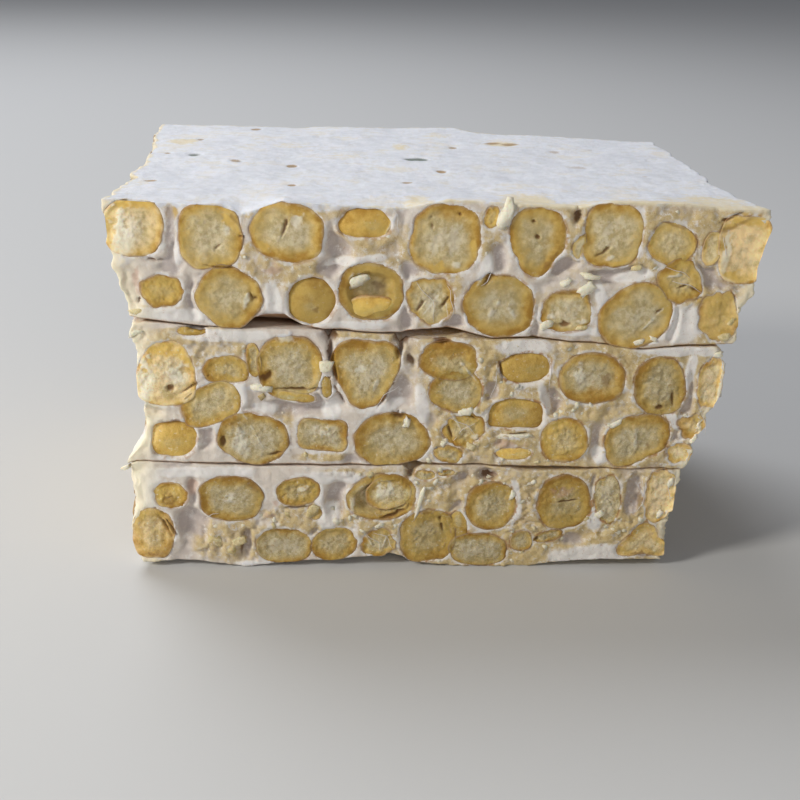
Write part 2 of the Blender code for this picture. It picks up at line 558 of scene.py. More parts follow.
TOP_PATCHES = (
    (CREAM, -24, 48.6, 14, 7, -5), (CREAM, -9, 52, 14, 7), (CREAM, -22, 57.2, 18, 2.6),
    (CREAM, -0.6, 46, 7, 12), (CREAM, 32, 55.4, 30, 5.6), (CREAM, 30.6, 49.8, 8, 5, 20),
    (CREAM, 40.6, 43, 10, 10), (CREAM, 6.6, 54, 5, 8), (CREAM, 19, 54, 4, 8),
    (POCKET, -38.8, 54, 1.6, 8, 0, 0.3), (POCKET, -38.3, 49.5, 3, 6.5, -35, 0.5),
    (POCKET, -35.8, 44, 2, 5.5, 5, 0.9), (POCKET, -44.4, 45.6, 2.4, 7, 8, 0.4),
    (POCKET, -33, 47.6, 5, 1.2, 15, 0.8), (WHITE, -37.6, 51.5, 1.2, 6, -5), (WHITE, -40, 41.6, 12, 2, -3),
    (POCKET, -14.8, 51, 3.2, 6.5, 20, 1.2), (POCKET, -16.6, 48.6, 3, 2.6, 0, 0.8),
    (WHITE, -12, 50, 9, 1.2, 8), (CREAM, -9.2, 51.9, 8, 3.4, 10), (CREAM, -24, 48.8, 9, 2.4, -5),
    (CREAM, -16.8, 57.2, 4, 2.2, -20), (POCKET, -4, 48.6, 3.6, 3.2, -30, 0.8),
    (POCKET, -4.6, 41.6, 2, 4.5, -10, 1.1), (POCKET, 2.4, 41, 5.4, 2, 0, 1.2),
    (WHITE, -24.3, 43.8, 2.2, 6.5, 10), (POCKET, -24.3, 40.9, 6, 1.6, 5, 0.9),
    (POCKET, 8.3, 51, 2.2, 4.5, 15, 1.1), (WHITE, 6.6, 49.2, 2, 5, -20),
    (POCKET, 17.8, 49.6, 5, 2.4, 20, 1.3), (POCKET, 26.4, 48.2, 8.4, 2.6, 8, 1.2),
    (WHITE, 28.5, 48.2, 6.5, 1.6, 12), (WHITE, 24, 44.9, 2, 5, 20), (POCKET, 14.3, 41.4, 1.6, 5),
    (POCKET, 40, 48, 8, 3.4, -22, 1.2), (WHITE, 36.6, 40.9, 5.4, 6), (POCKET, 35.2, 41, 1.4, 5, -5),
    (CREAM, 37, 57.4, 17, 2.6, 1), (CREAM, 30.4, 56, 4, 6), (CREAM, 30.6, 50.6, 4, 2.4, 20),
    (CREAM, 14, 58, 9, 1.4), (CREAM, -41, 42.4, 7, 1.6, 2), (WHITE, 20.6, 39.6, 9, 1.4),
    (WHITE, -12, 40.2, 10, 1.2),
)
TOP_MARKS = (
    (SLIT, -41.5, 49.7, 2.6, 0.6, -8, 0.7), (PINK, -43.8, 46.4, 1.4, 4.6, 6),
    (SLIT, -43.6, 43.6, 0.4, 1.4, -20, 0.4), (GOLD, -30.6, 55.6, 1.6, 3.4, 40),
    (BROWN, -29.9, 55.9, 0.7, 3.2, 38), (SLIT, -32.2, 51.6, 1.6, 0.35, 40, 0.2),
    (SLIT, -28.7, 53.2, 0.9, 0.5, 0, 0.4), (PALE, -30.9, 54, 1.2, 1.8, 20), (GOLD, -38.5, 56.8, 2, 3.2, -10),
    (GOLD, -43.6, 57.8, 8, 1.6), (PALE, -45.4, 52.6, 4, 8), (GOLD, 42.4, 56.6, 5, 1.8, 35),
    (BROWN, 42.4, 56, 6.4, 1.1, 26), (PALE, 41.7, 51.6, 1.5, 6.6, -4), (GOLD, 43, 48.8, 3, 1.4),
    (SLIT, -31.6, 48.7, 5, 0.35, -4), (PALE, -21, 55.6, 1.7, 2.6, -25),
    (SLIT, -22.7, 54.4, 0.55, 2.2, -15, 0.35), (GOLD, -25.6, 51.9, 2.2, 1.4, -20), (PINK, -24.4, 48.4, 3, 2),
    (PALE, -7.1, 56, 0.6, 4.6, -28), (GOLD, -24.6, 46, 1, 2.6, -8), (SLIT, -1.6, 55.5, 0.5, 1.6, 10, 0.25),
    (HOLE, 2.4, 57, 0.6, 0.6, 0, 0.3), (GOLD, -0.6, 49, 2.4, 1.4, 12), (PALE, 2.2, 49.6, 1.6, 1.3),
    (GOLD, 4.6, 52, 1, 2.8, 10), (HOLE, 13.1, 56.2, 0.7, 0.6, 0, 0.4), (HOLE, 13.8, 53.8, 0.8, 0.6, -20, 0.4),
    (BROWN, 15.6, 50, 1, 2.6, -35), (HOLE, 19.4, 56.9, 1.3, 1.6, 0, 1),
    (SLIT, 23.6, 51.8, 2.2, 0.55, 35, 0.4), (PALE, 24.6, 51, 1.8, 0.8, 25), (GOLD, 25.9, 50.2, 3, 1, 10),
    (GOLD, 22.2, 50.2, 1.6, 1), (BROWN, 33.6, 56, 5.4, 0.6, -18), (BROWN, 37.2, 53.2, 0.6, 3.8, 12),
    (SLIT, 41.5, 57.2, 5, 0.5, 24, 0.35), (GOLD, 44.6, 56.8, 6.4, 1.5, -2), (BROWN, 41.8, 55.6, 2.2, 0.9, 40),
    (GOLD, 42.6, 48.6, 4, 1, -20), (SLIT, -27.2, 44.4, 1.6, 0.9, -60, 0.6), (PALE, -28.2, 43.6, 1, 2.6, -20),
    (BROWN, -18.1, 42.5, 1.2, 1.5), (PALE, -11.8, 46.9, 3, 2, 15), (BROWN, -8.8, 46, 2.4, 2.4, 10),
    (PALE, -1.6, 43, 0.4, 3.4, -35), (PALE, 1.2, 42.4, 0.35, 2.8, 10), (SLIT, 0.6, 43.6, 0.5, 2, -30, 0.4),
    (SLIT, -3, 43, 0.5, 1.8, -30, 0.4), (SLIT, 6.9, 47.4, 0.9, 2.6, -25, 0.6),
    (PALE, 5.9, 47.6, 0.7, 2.4, -25), (PALE, 8, 42.8, 1, 3.4, -30), (PALE, 10.6, 42.6, 0.8, 2.4, 35),
    (HOLE, 18.9, 40.6, 1.4, 0.8, 10, 0.4), (PALE, 16.6, 42, 1.6, 1.2, -20), (PALE, 21.3, 41.2, 1.8, 0.8),
    (BROWN, 18.9, 45.5, 5, 0.7), (PALE, 31.6, 41.3, 0.5, 4.4, -40), (SLIT, 32.8, 42.9, 1.2, 0.4, 30, 0.25),
    (SLIT, 36, 46.9, 1.8, 0.4, 25), (SLIT, 37.8, 46.4, 2.4, 0.5, -25), (SLIT, 38.6, 45.2, 1.6, 0.4, 20, 0.4),
    (PALE, 34.6, 48.4, 2.4, 0.5, 10), (GOLD, 39.4, 45, 3.4, 1.2, 5),
)

MIDDLE_BEANS = (
    Bean(31, -40.1, 32.3, 8.9, 10.2, 0, FLAT, 0.8, 0.15, 2.4, 1.18, egg=-0.2, warm=0.95),
    Bean(32, -31.3, 32.8, 6.7, 5.1, 0, FLAT, 1, 0.65, 2.3, 0.95, flat=0.25),
    Bean(33, -33.6, 27.4, 9.6, 6.2, 25, FLAT, 0.7, 0.4, 2.5),
    Bean(34, -39.4, 21.7, 6.8, 6, 0, DOME, 1, 0.95, 2.8, 1.15),
    Bean(35, -27.4, 22, 10.8, 8.4, -8, FLAT, 1, 0.08, 2.2, 0.88),
    Bean(36, -21.9, 33.5, 9.8, 9.8, 0, FLAT, 1, 0.22, 2.5, 0.95),
    Bean(37, -10.6, 32.3, 9.3, 11.2, 0, FLAT, 1, 0.2, 2.3, 0.98, egg=0.55),
    Bean(38, -16.4, 30.4, 1.6, 3.4, 5, DOME, 0.4, 0.9, 2.2, 0.8),
    Bean(39, 1.8, 34.8, 8.8, 6.4, 0, FLAT, 1.8, 0.5, 2.3, 0.95),
    Bean(40, 3.1, 30, 8.4, 6.8, -10, FLAT, 0.9, 0.3, 2.3, 0.9),
    Bean(41, -6.4, 21.9, 11.4, 9, 8, FLAT, 1.4, 0.25, 2.3, 0.9),
    Bean(42, -16.9, 22.6, 7.6, 5.4, -4, FLAT, 0.7, 0.05, 5, 0.95),
    Bean(43, 13.4, 33.7, 7.5, 5, 3, DOME, 0.9, 0.95, 2.2, 0.95),
    Bean(44, 12.5, 25.6, 8.6, 6.2, 0, DOME, 0.9, 0.6, 2.4, 0.95, flat=0.42),
    Bean(45, 20.2, 22, 7.3, 7.6, 0, CRUMBLY, 0.9, 0.6, 2.2, 1.05),
    Bean(46, 23.7, 32.2, 10.4, 8.2, -6, FLAT, 1.5, 0.2, 2.2, 0.95),
    Bean(47, 34.2, 31, 7.8, 9.6, 10, CRUMBLY, 1, 0.35, 2.6, 0.85),
    Bean(48, 31.5, 22.1, 10.3, 8.6, 22, FLAT, 1.2, 0.3, 2.5, 0.92, flat=0.12, bumps=0.04),
    Bean(49, 42, 31.6, 4, 8.2, -4, FLAT, 0.9, 0.3, 2.6, 1.15, bumps=0.07, warm=0.5),
    Bean(50, 40, 24.4, 4, 4.4, 20, CRUMBLY, 0.8, 0.6, 2.5, 1.05, bumps=0.1, warm=0.5),
    Bean(51, 38.5, 20, 3.8, 3.6, 0, FLAT, 0.8, 0.25, 2.4, 1.2, bumps=0.09, warm=0.5),
    Bean(52, 12.5, 19.7, 5.4, 2.1, 0, DOME, 0.5, 0.9, 2.2, 1.3),
    Bean(53, 4.6, 23.6, 6, 5.6, 25, CRUMBLY, 0.7, 0.45, 2.4, bumps=0.08),
    Bean(54, 2.4, 19.6, 4.6, 2.8, -10, CRUMBLY, 0.6, 0.4, 2.4, bumps=0.07),
    Bean(55, -27.2, 34.6, 2.2, 5.4, 8, FLAT, 0.5, 0.6, 2.4),
    Bean(56, -21, 28.8, 5.6, 1.5, -8, DOME, 0.4, 0.85, 2.6),
    Bean(57, -36.2, 39, 4, 1.4, 0, DOME, 0.4, 0.95, 2.4),
)
MIDDLE_PATCHES = (
    (CREAM, 4.6, 22.8, 12, 10), (CREAM, 6.8, 32, 6, 10), (CREAM, 24.4, 26.8, 17, 2.8, 2),
    (CREAM, 40.6, 23, 5, 11, -10), (CREAM, -32.4, 36.2, 9, 3), (CREAM, 28.6, 33.8, 3, 6),
    (CREAM, -37, 38, 16.5, 3, 2, 0.2), (CREAM, -10.9, 38.4, 10.4, 2.6, -4, 0.2),
    (POCKET, -20.5, 27.2, 15, 3.2, 6, 1.3), (WHITE, -25.5, 26.9, 4, 1.6, -10),
    (POCKET, -5.2, 30, 4.2, 5, 20, 1.3), (WHITE, -7.4, 27.2, 6, 1.4, 20), (WHITE, -15.6, 27, 3, 3.4),
    (WHITE, -31, 38.4, 14, 1.8, -1), (POCKET, 17.8, 28.2, 3.6, 4, 10, 1.5), (WHITE, 16.6, 29, 1.6, 5.6, 20),
    (WHITE, 12.8, 37, 8.4, 2.4), (POCKET, 25.4, 21.6, 2.4, 5.6, 0, 1.2),
    (POCKET, 38.8, 28.2, 1.8, 9.6, -4, 1.1), (WHITE, 36.4, 36.8, 14, 1.6, -1),
    (CREAM, 21.6, 36.9, 10, 1.4, -2), (CREAM, -35.4, 35, 3, 4.6, 10), (POCKET, -42.6, 26.2, 4, 1.2, 0, 0.7),
    (POCKET, -34.8, 22.2, 3, 4.4), (CREAM, -43, 26.8, 3, 3), (CREAM, -22.8, 24.8, 3, 5),
    (CREAM, -17, 19, 8, 1.6), (CREAM, 7.2, 27.8, 3, 4), (CREAM, 11.4, 21.6, 8, 2.4), (CREAM, 8.2, 34.6, 3, 4),
    (POCKET, 38, 22.8, 2.4, 2, 0, 0.9), (POCKET, -12, 18.6, 3.4, 1.6, 0, 0.8),
    (WHITE, -2, 27.8, 1.8, 7.6, 12), (POCKET, 8.4, 30, 2.2, 3.4, 0, 0.8), (WHITE, 26.4, 19.4, 3, 3.2, 10),
    (WHITE, 38.6, 33.4, 1.6, 7, -8), (WHITE, 36.8, 25.6, 4, 1.4, -60), (WHITE, -29.2, 30.6, 1.6, 6.4, 10),
)
MIDDLE_MARKS = (
    (HOLE, -39.6, 29.8, 1.1, 1), (SLIT, -36.3, 30.4, 0.4, 4.2, -55), (BROWN, -39.4, 24.6, 4.6, 1),
    (GOLD, -40.2, 36, 7.6, 2.2, -8), (GOLD, -37, 34.2, 1.2, 4, 40), (PALE, -38.4, 32.2, 3.6, 4, 10),
    (PALE, -43.2, 31, 3, 9, -6), (PALE, -26.9, 22.4, 0.35, 6.2, 28), (PALE, -29.4, 21, 3, 4.6, 24),
    (BROWN, -21.9, 22, 1, 4.6, 4), (HOLE, -32, 21.4, 1.1, 1.7, 0, 0.6), (PALE, -29.6, 21.6, 2.6, 3.6, 10),
    (SLIT, -23.8, 19.6, 2.6, 0.5, 20, 0.4), (SLIT, -21, 30, 7, 0.5, 0, 0.6), (PALE, -22.4, 38, 3.6, 1.4),
    (GOLD, -23.4, 37.4, 3.6, 1.2, 8), (GOLD, -18.2, 33.8, 1, 4.2), (HOLE, -25.4, 31.8, 1.8, 1.2, 20),
    (PALE, -27, 30, 3.8, 1, -4), (PALE, -16.5, 33.6, 1.9, 1.6), (SLIT, -14.4, 29, 0.5, 4, 28, 0.4),
    (SLIT, -7.6, 29, 0.5, 4.2, -32, 0.4), (PALE, -11.2, 33.4, 2.2, 1.2, 30), (PALE, -9, 31, 0.8, 2.6, -20),
    (HOLE, 0.6, 38.1, 3, 1.4, 4), (PALE, 4.6, 33.4, 0.5, 5, 40), (GOLD, 0, 28.8, 2, 2),
    (HOLE, -5.4, 26, 1.9, 1.7, 15), (PALE, -4.2, 24.6, 1.1, 1.7), (BROWN, -16.9, 20.4, 0.9, 0.7),
    (PALE, -16.6, 23.2, 2.6, 1.6, -10), (SLIT, 9.7, 33.4, 0.4, 4.4, 10), (PALE, 17.4, 34, 0.5, 4.6, -8),
    (SLIT, 12.6, 23, 4.8, 0.4, 0, 0.4), (PALE, 12.4, 22.4, 4.4, 0.6), (PINK, 11.6, 21.2, 5, 1.4),
    (PALE, 21.6, 32.8, 2, 3, 10), (BROWN, 25.8, 32.2, 1.6, 3.4), (HOLE, 34.4, 27.6, 1.4, 0.7, 0, 0.4),
    (SLIT, 36.4, 28.8, 0.4, 2.4, 10, 0.4), (PALE, 31.2, 22.8, 0.8, 4.8, 5), (BROWN, 33.4, 21.4, 0.8, 1.2),
    (PALE, 43.6, 31.2, 0.9, 7.6, -4), (PALE, 41.2, 24.4, 0.8, 3.8), (BROWN, 36.2, 20, 0.8, 3),
    (SLIT, 5.6, 25.8, 3, 0.4, -20, 0.4), (SLIT, 2.6, 23, 0.4, 3, 20, 0.4), (PALE, 6.4, 22.4, 1.6, 1),
    (PALE, 3.4, 25, 0.4, 3, 30), (HOLE, -35.4, 39.6, 2.6, 1.2, -6, 0.8), (BROWN, -24, 39.7, 9, 0.7),
    (BROWN, 5, 38.6, 10, 0.8, -2), (HOLE, -15.6, 38.6, 2.4, 1.6, 0, 0.9), (HOLE, -5.2, 38, 2.8, 1.6, 0, 0.9),
    (SLIT, -15.9, 36.4, 5.4, 0.8, 94, 1.3), (SLIT, -15.2, 32.6, 3.4, 0.6, 98, 0.8),
    (SLIT, -5.5, 36.6, 3, 1, 75, 1.3), (SLIT, -3.8, 34.6, 2.2, 0.9, 110, 1),
)

BOTTOM_BEANS = (
    Bean(61, -40.1, 12.4, 5.2, 4.4, 0, CRUMBLY, 0.8, 0.95, 2.5, 1.12, bumps=0.06),
    Bean(62, -43, 5.8, 6.4, 8.8, 0, FLAT, 1.4, 0.55, 2.7, warm=0.55),
    Bean(63, -30.9, 11.9, 10.2, 7.6, -6, FLAT, 1, 0.25, 2.3, 0.85),
    Bean(64, -20.6, 13.1, 6.8, 4.9, 12, CRUMBLY, 0.7, 0.6, 2.3, 0.9),
    Bean(65, -7.6, 12.2, 10.6, 8.2, 6, HOLLOW, 1.2, 0.2, 2.2, 0.95),
    Bean(85, -6.6, 12.9, 7.2, 5.6, 18, FLAT, 0.7, 0.15, 2.3, 1.05),
    Bean(66, -22.8, 3.7, 9, 6.2, 0, FLAT, 0.6, 0.05, 2.3, 0.9),
    Bean(67, -14.9, 4, 7.4, 5.8, 8, FLAT, 0.9, 0.4, 2.2, 0.9),
    Bean(69, -0.2, 5.4, 9.2, 9.2, 0, FLAT, 1.1, 0.5, 2.4, 0.85),
    Bean(70, 7.9, 3.1, 9.4, 5.8, -5, FLAT, 0.7, 0.15, 2.4, 0.85),
    Bean(71, 9.5, 10.8, 8.2, 8.4, 0, FLAT, 1.3, 0.35, 2.1, 0.9),
    Bean(72, 21, 11.4, 8.9, 9.3, 0, FLAT, 1.3, 0.5, 2.2, 0.85),
    Bean(73, 14.7, 4.6, 3.6, 3.6, 0, FLAT, 0.4, 0.25, 2.4, 0.9),
    Bean(74, 27.9, 12, 4, 8.6, 3, CRUMBLY, 0.3, -0.2, 2.5, bumps=0.06),
    Bean(75, 36.2, 12.6, 5, 8.8, 4, FLAT, 0.5, 0.05, 2.8, 1.18, bumps=0.08, warm=0.75),
    Bean(76, 34.4, 4.6, 7, 6.8, 0, FLAT, 0.6, 0.35, 2.3, 1.05, egg=-0.7, flat=0.2, bumps=0.05, warm=0.4),
    Bean(77, -1, 16, 3.2, 1.8, -8, CRUMBLY, 0.4, 0.4, 2.3),
    Bean(78, 2.2, 16.4, 2.6, 1.1, 4, CRUMBLY, 0.4, 0.5, 2.3),
    Bean(79, -18, 9.6, 2.2, 2.7, 25, FLAT, 0.4, 0.5, 2.3),
    Bean(80, -8, 4.2, 5.6, 4.6, 0, CRUMBLY, 0.6, 0.3, 2.3, bumps=0.08),
    Bean(81, 4.6, 7, 2.8, 5.4, 10, DOME, 0.5, 0.7, 2.2),
    Bean(82, 19, 5.5, 4.6, 2, 18, CRUMBLY, 0.5, 0.3, 2.2, 0.9, bumps=0.07),
)
BOTTOM_PATCHES = (
    (CREAM, 15.6, 11, 22, 9), (CREAM, -14, 7.6, 26, 7), (CREAM, -31, 4.6, 12, 8),
    (WHITE, -15.6, 15.6, 10, 2.4), (CREAM, 31.4, 10, 7, 12), (WHITE, -43.8, 13.2, 5.6, 7, 0, 0.2),
    (WHITE, -35.4, 16.3, 16, 1.8, 1, 0.2), (POCKET, -36.8, 13, 2, 4.4), (POCKET, -37.2, 7.6, 5, 5, 0, 1.3),
    (CREAM, -32, 4, 7, 4.6, -4), (POCKET, -28.6, 4.4, 1.6, 4.6, -4, 1.1),
    (POCKET, -14.6, 11.8, 3.2, 5.6, -6, 1.3), (WHITE, -17.4, 12.6, 1.4, 5.4), (CREAM, -24.6, 9.2, 5.6, 1.8),
    (WHITE, -16, 8.8, 3.4, 4), (POCKET, -18, 5.6, 1.8, 2.6, 0, 0.9), (CREAM, -11.6, 16.4, 14, 1.4),
    (CREAM, 3, 13.4, 4.6, 5), (POCKET, 4.2, 15.6, 2.6, 1.6, 0, 0.9), (POCKET, 8.6, 15.9, 3, 1.8, 0, 1.2),
    (CREAM, 15.2, 12, 3, 8), (WHITE, 13.4, 13.2, 1, 4.2, 18), (WHITE, 13.5, 9, 1, 4.4, -16),
    (CREAM, 13, 7, 5, 2), (POCKET, 22.8, 4.8, 4.6, 2.6, -4, 0.7), (WHITE, 26, 2.4, 14, 3.2, 4),
    (POCKET, 4.4, 9.8, 2.6, 3.6, -30, 0.8), (WHITE, 5.6, 8.4, 2, 3, -40), (WHITE, 26.2, 8.4, 3, 4.6),
    (CREAM, 27.6, 5.8, 3.6, 2.4), (POCKET, 25.5, 13, 1, 6.4, 0, 0.8), (POCKET, 32, 12.6, 2.4, 7, -4, 0.9),
    (CREAM, 33.4, 16, 6, 1.6), (CREAM, -44, 1.2, 4, 1.4), (WHITE, -26, 0.5, 8, 0.9),
    (VOID, -6.1, 0.8, 5.2, 2.2, 0, 3),
)
BOTTOM_MARKS = (
    (BROWN, -40.4, 11.4, 3.4, 2), (PINK, -36.8, 13.6, 1.6, 3.6), (SLIT, -41.2, 7.4, 0.5, 4.4, 28, 0.6),
    (SLIT, -40, 6.6, 0.4, 3.6, 28), (BROWN, -43, 2.4, 5, 1), (BROWN, -27.6, 13.8, 2.8, 1.4, -40),
    (PALE, -31.4, 12, 3, 1.4, 10), (SLIT, -29.4, 3, 0.5, 3.4, -6), (PALE, -28.4, 0.7, 2.8, 0.8),
    (PINK, -24, 11.4, 1.2, 1.7), (PINK, -25, 9, 2.4, 1.1), (SLIT, -20.6, 10.4, 4, 0.5, 6, 0.6),
    (PALE, -20, 13.4, 2.2, 0.7, 20), (PALE, -7.4, 13, 4.4, 2.4, 18), (HOLE, -5.6, 9.4, 4.6, 1.1, 26),
    (PALE, -12.2, 10.6, 0.9, 3.3), (PINK, -12.3, 9.4, 0.8, 1), (PALE, -9.6, 5, 0.35, 3.6, 30),
    (PALE, -7, 4.4, 0.35, 3.4, -20), (PALE, -6.2, 5.6, 2.6, 0.35, 10), (PALE, -1.7, 11.2, 0.9, 5.6, 8),
    (SLIT, 1.9, 7.2, 0.5, 2.2, 15, 0.4), (BROWN, -0.6, 9.6, 3.6, 0.8), (HOLE, 8.9, 15.7, 2.8, 1.3, 0, 0.6),
    (BROWN, 15.4, 12.4, 1, 2.2, 10), (BROWN, 15, 9.4, 0.8, 1.4, -10), (SLIT, 21.2, 11.6, 3.6, 0.4, 4, 0.3),
    (PINK, 20.6, 13.2, 3.6, 1.8), (SLIT, 17, 5, 1.4, 0.6, 40), (GOLD, 26.9, 15.5, 1.1, 0.9),
    (GOLD, 26.7, 6.4, 1.5, 1.3), (BROWN, 33.2, 12, 0.9, 5.6), (PALE, 33, 13.6, 0.3, 3, 30),
    (BROWN, 34.6, 2.2, 4.8, 0.9), (PINK, 30.9, 3.9, 1.1, 0.6), (SLIT, -3.4, 16.2, 1.4, 1.2, 0, 1.2),
)

FORMS = (
    Form("slab_bottom", 0, (-44.6, -46.3, -45.6), (38.2, 38.4, 40), 0.6, 64.5, -14, 1.5,
         grain=1.35, ripe=(-26, 8, 0.72), crumbs=60,
         upper=(-47, 17.3, -45, 18, -35, 17.6, -28, 17.3, -10, 17.4, -4.5, 17.6, -3.3, 16.2, -1.5, 17.6, 7,
                17.6, 12, 17.3, 14, 16.8, 21, 16.9, 27, 17.2, 39, 17),
         lower=(-45.3, 0.7, -41.4, 1, -35.9, 1, -28.5, 0, -22.6, 0.9, -15.6, 1.2, -8.5, 1.9, -5.3, 2.1, -3.2,
                1, 3.6, 0.1, 15.7, 0, 19.6, 0.7, 27.7, 1.4, 38.1, 1.2),
         left_end=(1, -45, 3.1, -45.8, 5.3, -46.3, 7.9, -46.6, 11.6, -46, 16.9, -45.8),
         right_end=(1.2, 38, 4.3, 37.8, 7.3, 37.8, 9.1, 38.4, 11.8, 38.5, 15.1, 39.1, 17.2, 39.7)),
    Form("slab_middle", 1, (-45.6, -43.6, -45.2), (40.2, 43.2, 43.8), 0.8, 65.2, 22, 2.5,
         grain=1.15, ripe=(-14, 10, 0.74), crumbs=40,
         upper=(-46, 39.6, -43, 40.2, -38, 39.9, -35, 39.2, -33.5, 39.6, -28, 39.4, -19, 39.4, -16.8, 39.2,
                -16.2, 37.8, -15.6, 39.1, -10, 38.9, -6.3, 38.7, -5.6, 37.2, -4.7, 38, 1, 38.2, 4, 38.8, 8,
                38.2, 13, 38.3, 20, 37.8, 25, 37.6, 31, 36.8, 36, 37.3, 44, 37.6),
         lower=(-47, 17.4, -45, 18.1, -35, 17.9, -20, 17.7, -10, 17.7, -4.5, 18, -3, 18.6, -1.5, 18, 7, 17.8,
                14, 17.6, 20, 17.6, 28, 17.3, 40, 17.1),
         left_end=(17.4, -47, 18.4, -46.9, 20, -45.3, 21.8, -44.2, 24.1, -43.4, 25.3, -43.6, 28.1, -44.2, 32,
                   -44.4, 35.1, -44.7, 36.8, -45.3, 38, -45, 39.2, -45.6),
         right_end=(17, 39.7, 19.7, 40.5, 21.4, 41.2, 22.9, 40.6, 25, 42.5, 28, 42.8, 31.6, 44.5, 35.5, 44.4,
                    38, 41.8)),
    Form("slab_top", 2, (-44.8, -46.9, -47.8), (44.6, 46.4, 47), 3.1, 66, 9.5, 5.5,
         grain=0.42, ripe=(-20, 45, 0.5), crumbs=12,
         upper=(-47.9, 58.2, -40, 57.9, -32, 57.6, -28.9, 56.6, -26, 57.4, -22.6, 58.5, -17.7, 58, -9.2,
                57.8, -5.6, 57.8, 0.8, 59.1, 7.9, 58.8, 19.5, 58.5, 25.2, 59.3, 36.9, 58.9, 45.8, 58.5),
         lower=(-46, 41.2, -43, 40.7, -38, 40.1, -34, 39.7, -28.5, 39.7, -27, 41.2, -22.5, 41.5, -20, 40.1,
                -17, 39.5, -10, 39.1, -5.5, 39, -4, 39.4, 1, 40, 4, 39.4, 8, 38.4, 13, 38.7, 20, 38, 25, 37.8,
                31, 37, 36, 37.6, 45, 38),
         left_end=(41.8, -45.5, 44.1, -46.1, 46.6, -46.8, 49.7, -47.5, 51.7, -47.8, 53, -47.5, 55.9, -47.7,
                   57.4, -48.2, 58.2, -48),
         right_end=(38.2, 44.7, 40.4, 44.9, 43.1, 44.7, 45.6, 45.4, 47.3, 46.7, 49.9, 46.6, 53.2, 47.3, 56.2,
                    48.2, 57, 47.7, 57.9, 48.5, 58.6, 48.6)),
)

FRONTS = tuple(
    Layout(list(beans), [Patch(*row) for row in patches], [Mark(*row) for row in marks])
    for beans, patches, marks in ((BOTTOM_BEANS, BOTTOM_PATCHES, BOTTOM_MARKS),
                                  (MIDDLE_BEANS, MIDDLE_PATCHES, MIDDLE_MARKS),
                                  (TOP_BEANS, TOP_PATCHES, TOP_MARKS)))


@dataclass(frozen=True)
class Packing:
    """How the walls that are not laid out one by one fill up with beans and pockets."""

    seed: int
    large: tuple[float, float] = (3.6, 5.4)      # half sizes of whole beans
    small: tuple[float, float] = (1.3, 2.7)      # half sizes of fragments
    tries: int = 2600                            # the first half of them for whole beans
    pastes: int = 8                              # broad patches of paste under the rest
    fills: int = 90                              # tries to fill the room between the beans
    marked: float = 0.55                         # share of the whole beans that carry a mark

    @staticmethod
    def span(form: Form, wall: Wall) -> tuple[float, float]:
        """Where a wall's beans may start and end along it.

        Args:
            form: the slab.
            wall: which of its walls.

        Returns:
            The first and the last place.
        """
        if wall is Wall.BACK:
            return form.left[1] + 1.0, form.right[1] - 1.0
        end = form.front + form.depth - form.step * (wall is Wall.RIGHT) - 2.5
        if wall is Wall.RIGHT:
            end -= STACK.back_taper * (form.right[1] - form.step_x)
        return form.front + 3.2, end

    def bean(self, draw: np.random.Generator, u: float, v: float, half: float) -> Bean:
        """Draw the sizes of a bean at a place.

        Args:
            draw: where the random numbers come from.
            u: its place along the wall.
            v: its height.
            half: its half size.

        Returns:
            The bean.
        """
        stretch = draw.uniform(0.80, 1.18)
        cut = draw.choice(list(Cut), p=[0.64, 0.10, 0.22, 0.04])
        turn, rim = draw.uniform(-60.0, 60.0), draw.uniform(0.7, 1.5) * min(1.0, half / 3.5)
        tone = draw.uniform(0.1, 0.6) + 0.35 * (cut is Cut.DOME)
        square, egg, flat = draw.uniform(2.0, 2.9), draw.uniform(-0.3, 0.4), 0.25 * (draw.uniform() < 0.3)
        bumps = draw.uniform(0.03, 0.05) + 0.04 * (half < 3.0)
        return Bean(int(draw.integers(1, 9999)), u, v, 2.0 * half * stretch, 2.0 * half / stretch, turn, cut,
                    rim, tone, square, 1.0, egg, flat, bumps)

    def fill(self, form: Form, wall: Wall) -> Layout:
        """Pack one wall.

        Args:
            form: the slab.
            wall: which of its walls.

        Returns:
            The wall's beans, patches and marks.
        """
        draw = np.random.default_rng(self.seed)
        start, end = self.span(form, wall)
        layout = Layout([], [Patch(CREAM, draw.uniform(start, end), draw.uniform(8.0, 52.0), 16.0, 9.0)
                             for _ in range(self.pastes)], [])
        taken: list[Triple] = []
        for count in range(self.tries):
            half = draw.uniform(*(self.large if count < self.tries // 2 else self.small))
            u = draw.uniform(start, end)
            at = np.array([u if wall is Wall.BACK else 0.0]), np.full(1, form.front + 20.0)
            low, high = form.low(*at)[0] + 0.8, form.high(*at)[0] - 0.9
            v = draw.uniform(low + 0.92 * half, high - 0.92 * half)
            crowded = any(math.hypot(u - a, v - b) < 0.88 * (half + r) + 0.10 for a, b, r in taken)
            if not crowded and start - 1.0 <= u - half and u + half <= end + 1.0:
                taken.append((u, v, half))
                layout.beans.append(self.bean(draw, u, v, half))
        for _ in range(self.fills):
            u, v = draw.uniform(start, end), draw.uniform(low + 0.5, high - 0.5)
            room = min((math.hypot(u - a, v - b) - r for a, b, r in taken), default=9.0)
            if room > 0.5:
                fill = draw.choice([POCKET, WHITE, CREAM], p=[0.42, 0.24, 0.34])
                layout.patches.append(Patch(fill, u, v, 1.6 * room + 1.2, 1.2 * room + 1.4,
                                            draw.uniform(-60, 60), draw.uniform(0.7, 1.3)))
        for u, v, half in taken:
            if half > 3.0 and draw.uniform() < self.marked:
                layout.marks.append(Mark(
                    draw.choice([SLIT, HOLE, PALE, BROWN, GOLD]), u + draw.uniform(-2, 2),
                    v + draw.uniform(-2, 2), draw.uniform(0.8, 2.4), draw.uniform(0.4, 0.9),
                    draw.uniform(-80, 80), 0.35))
        return layout


# Modelling helpers

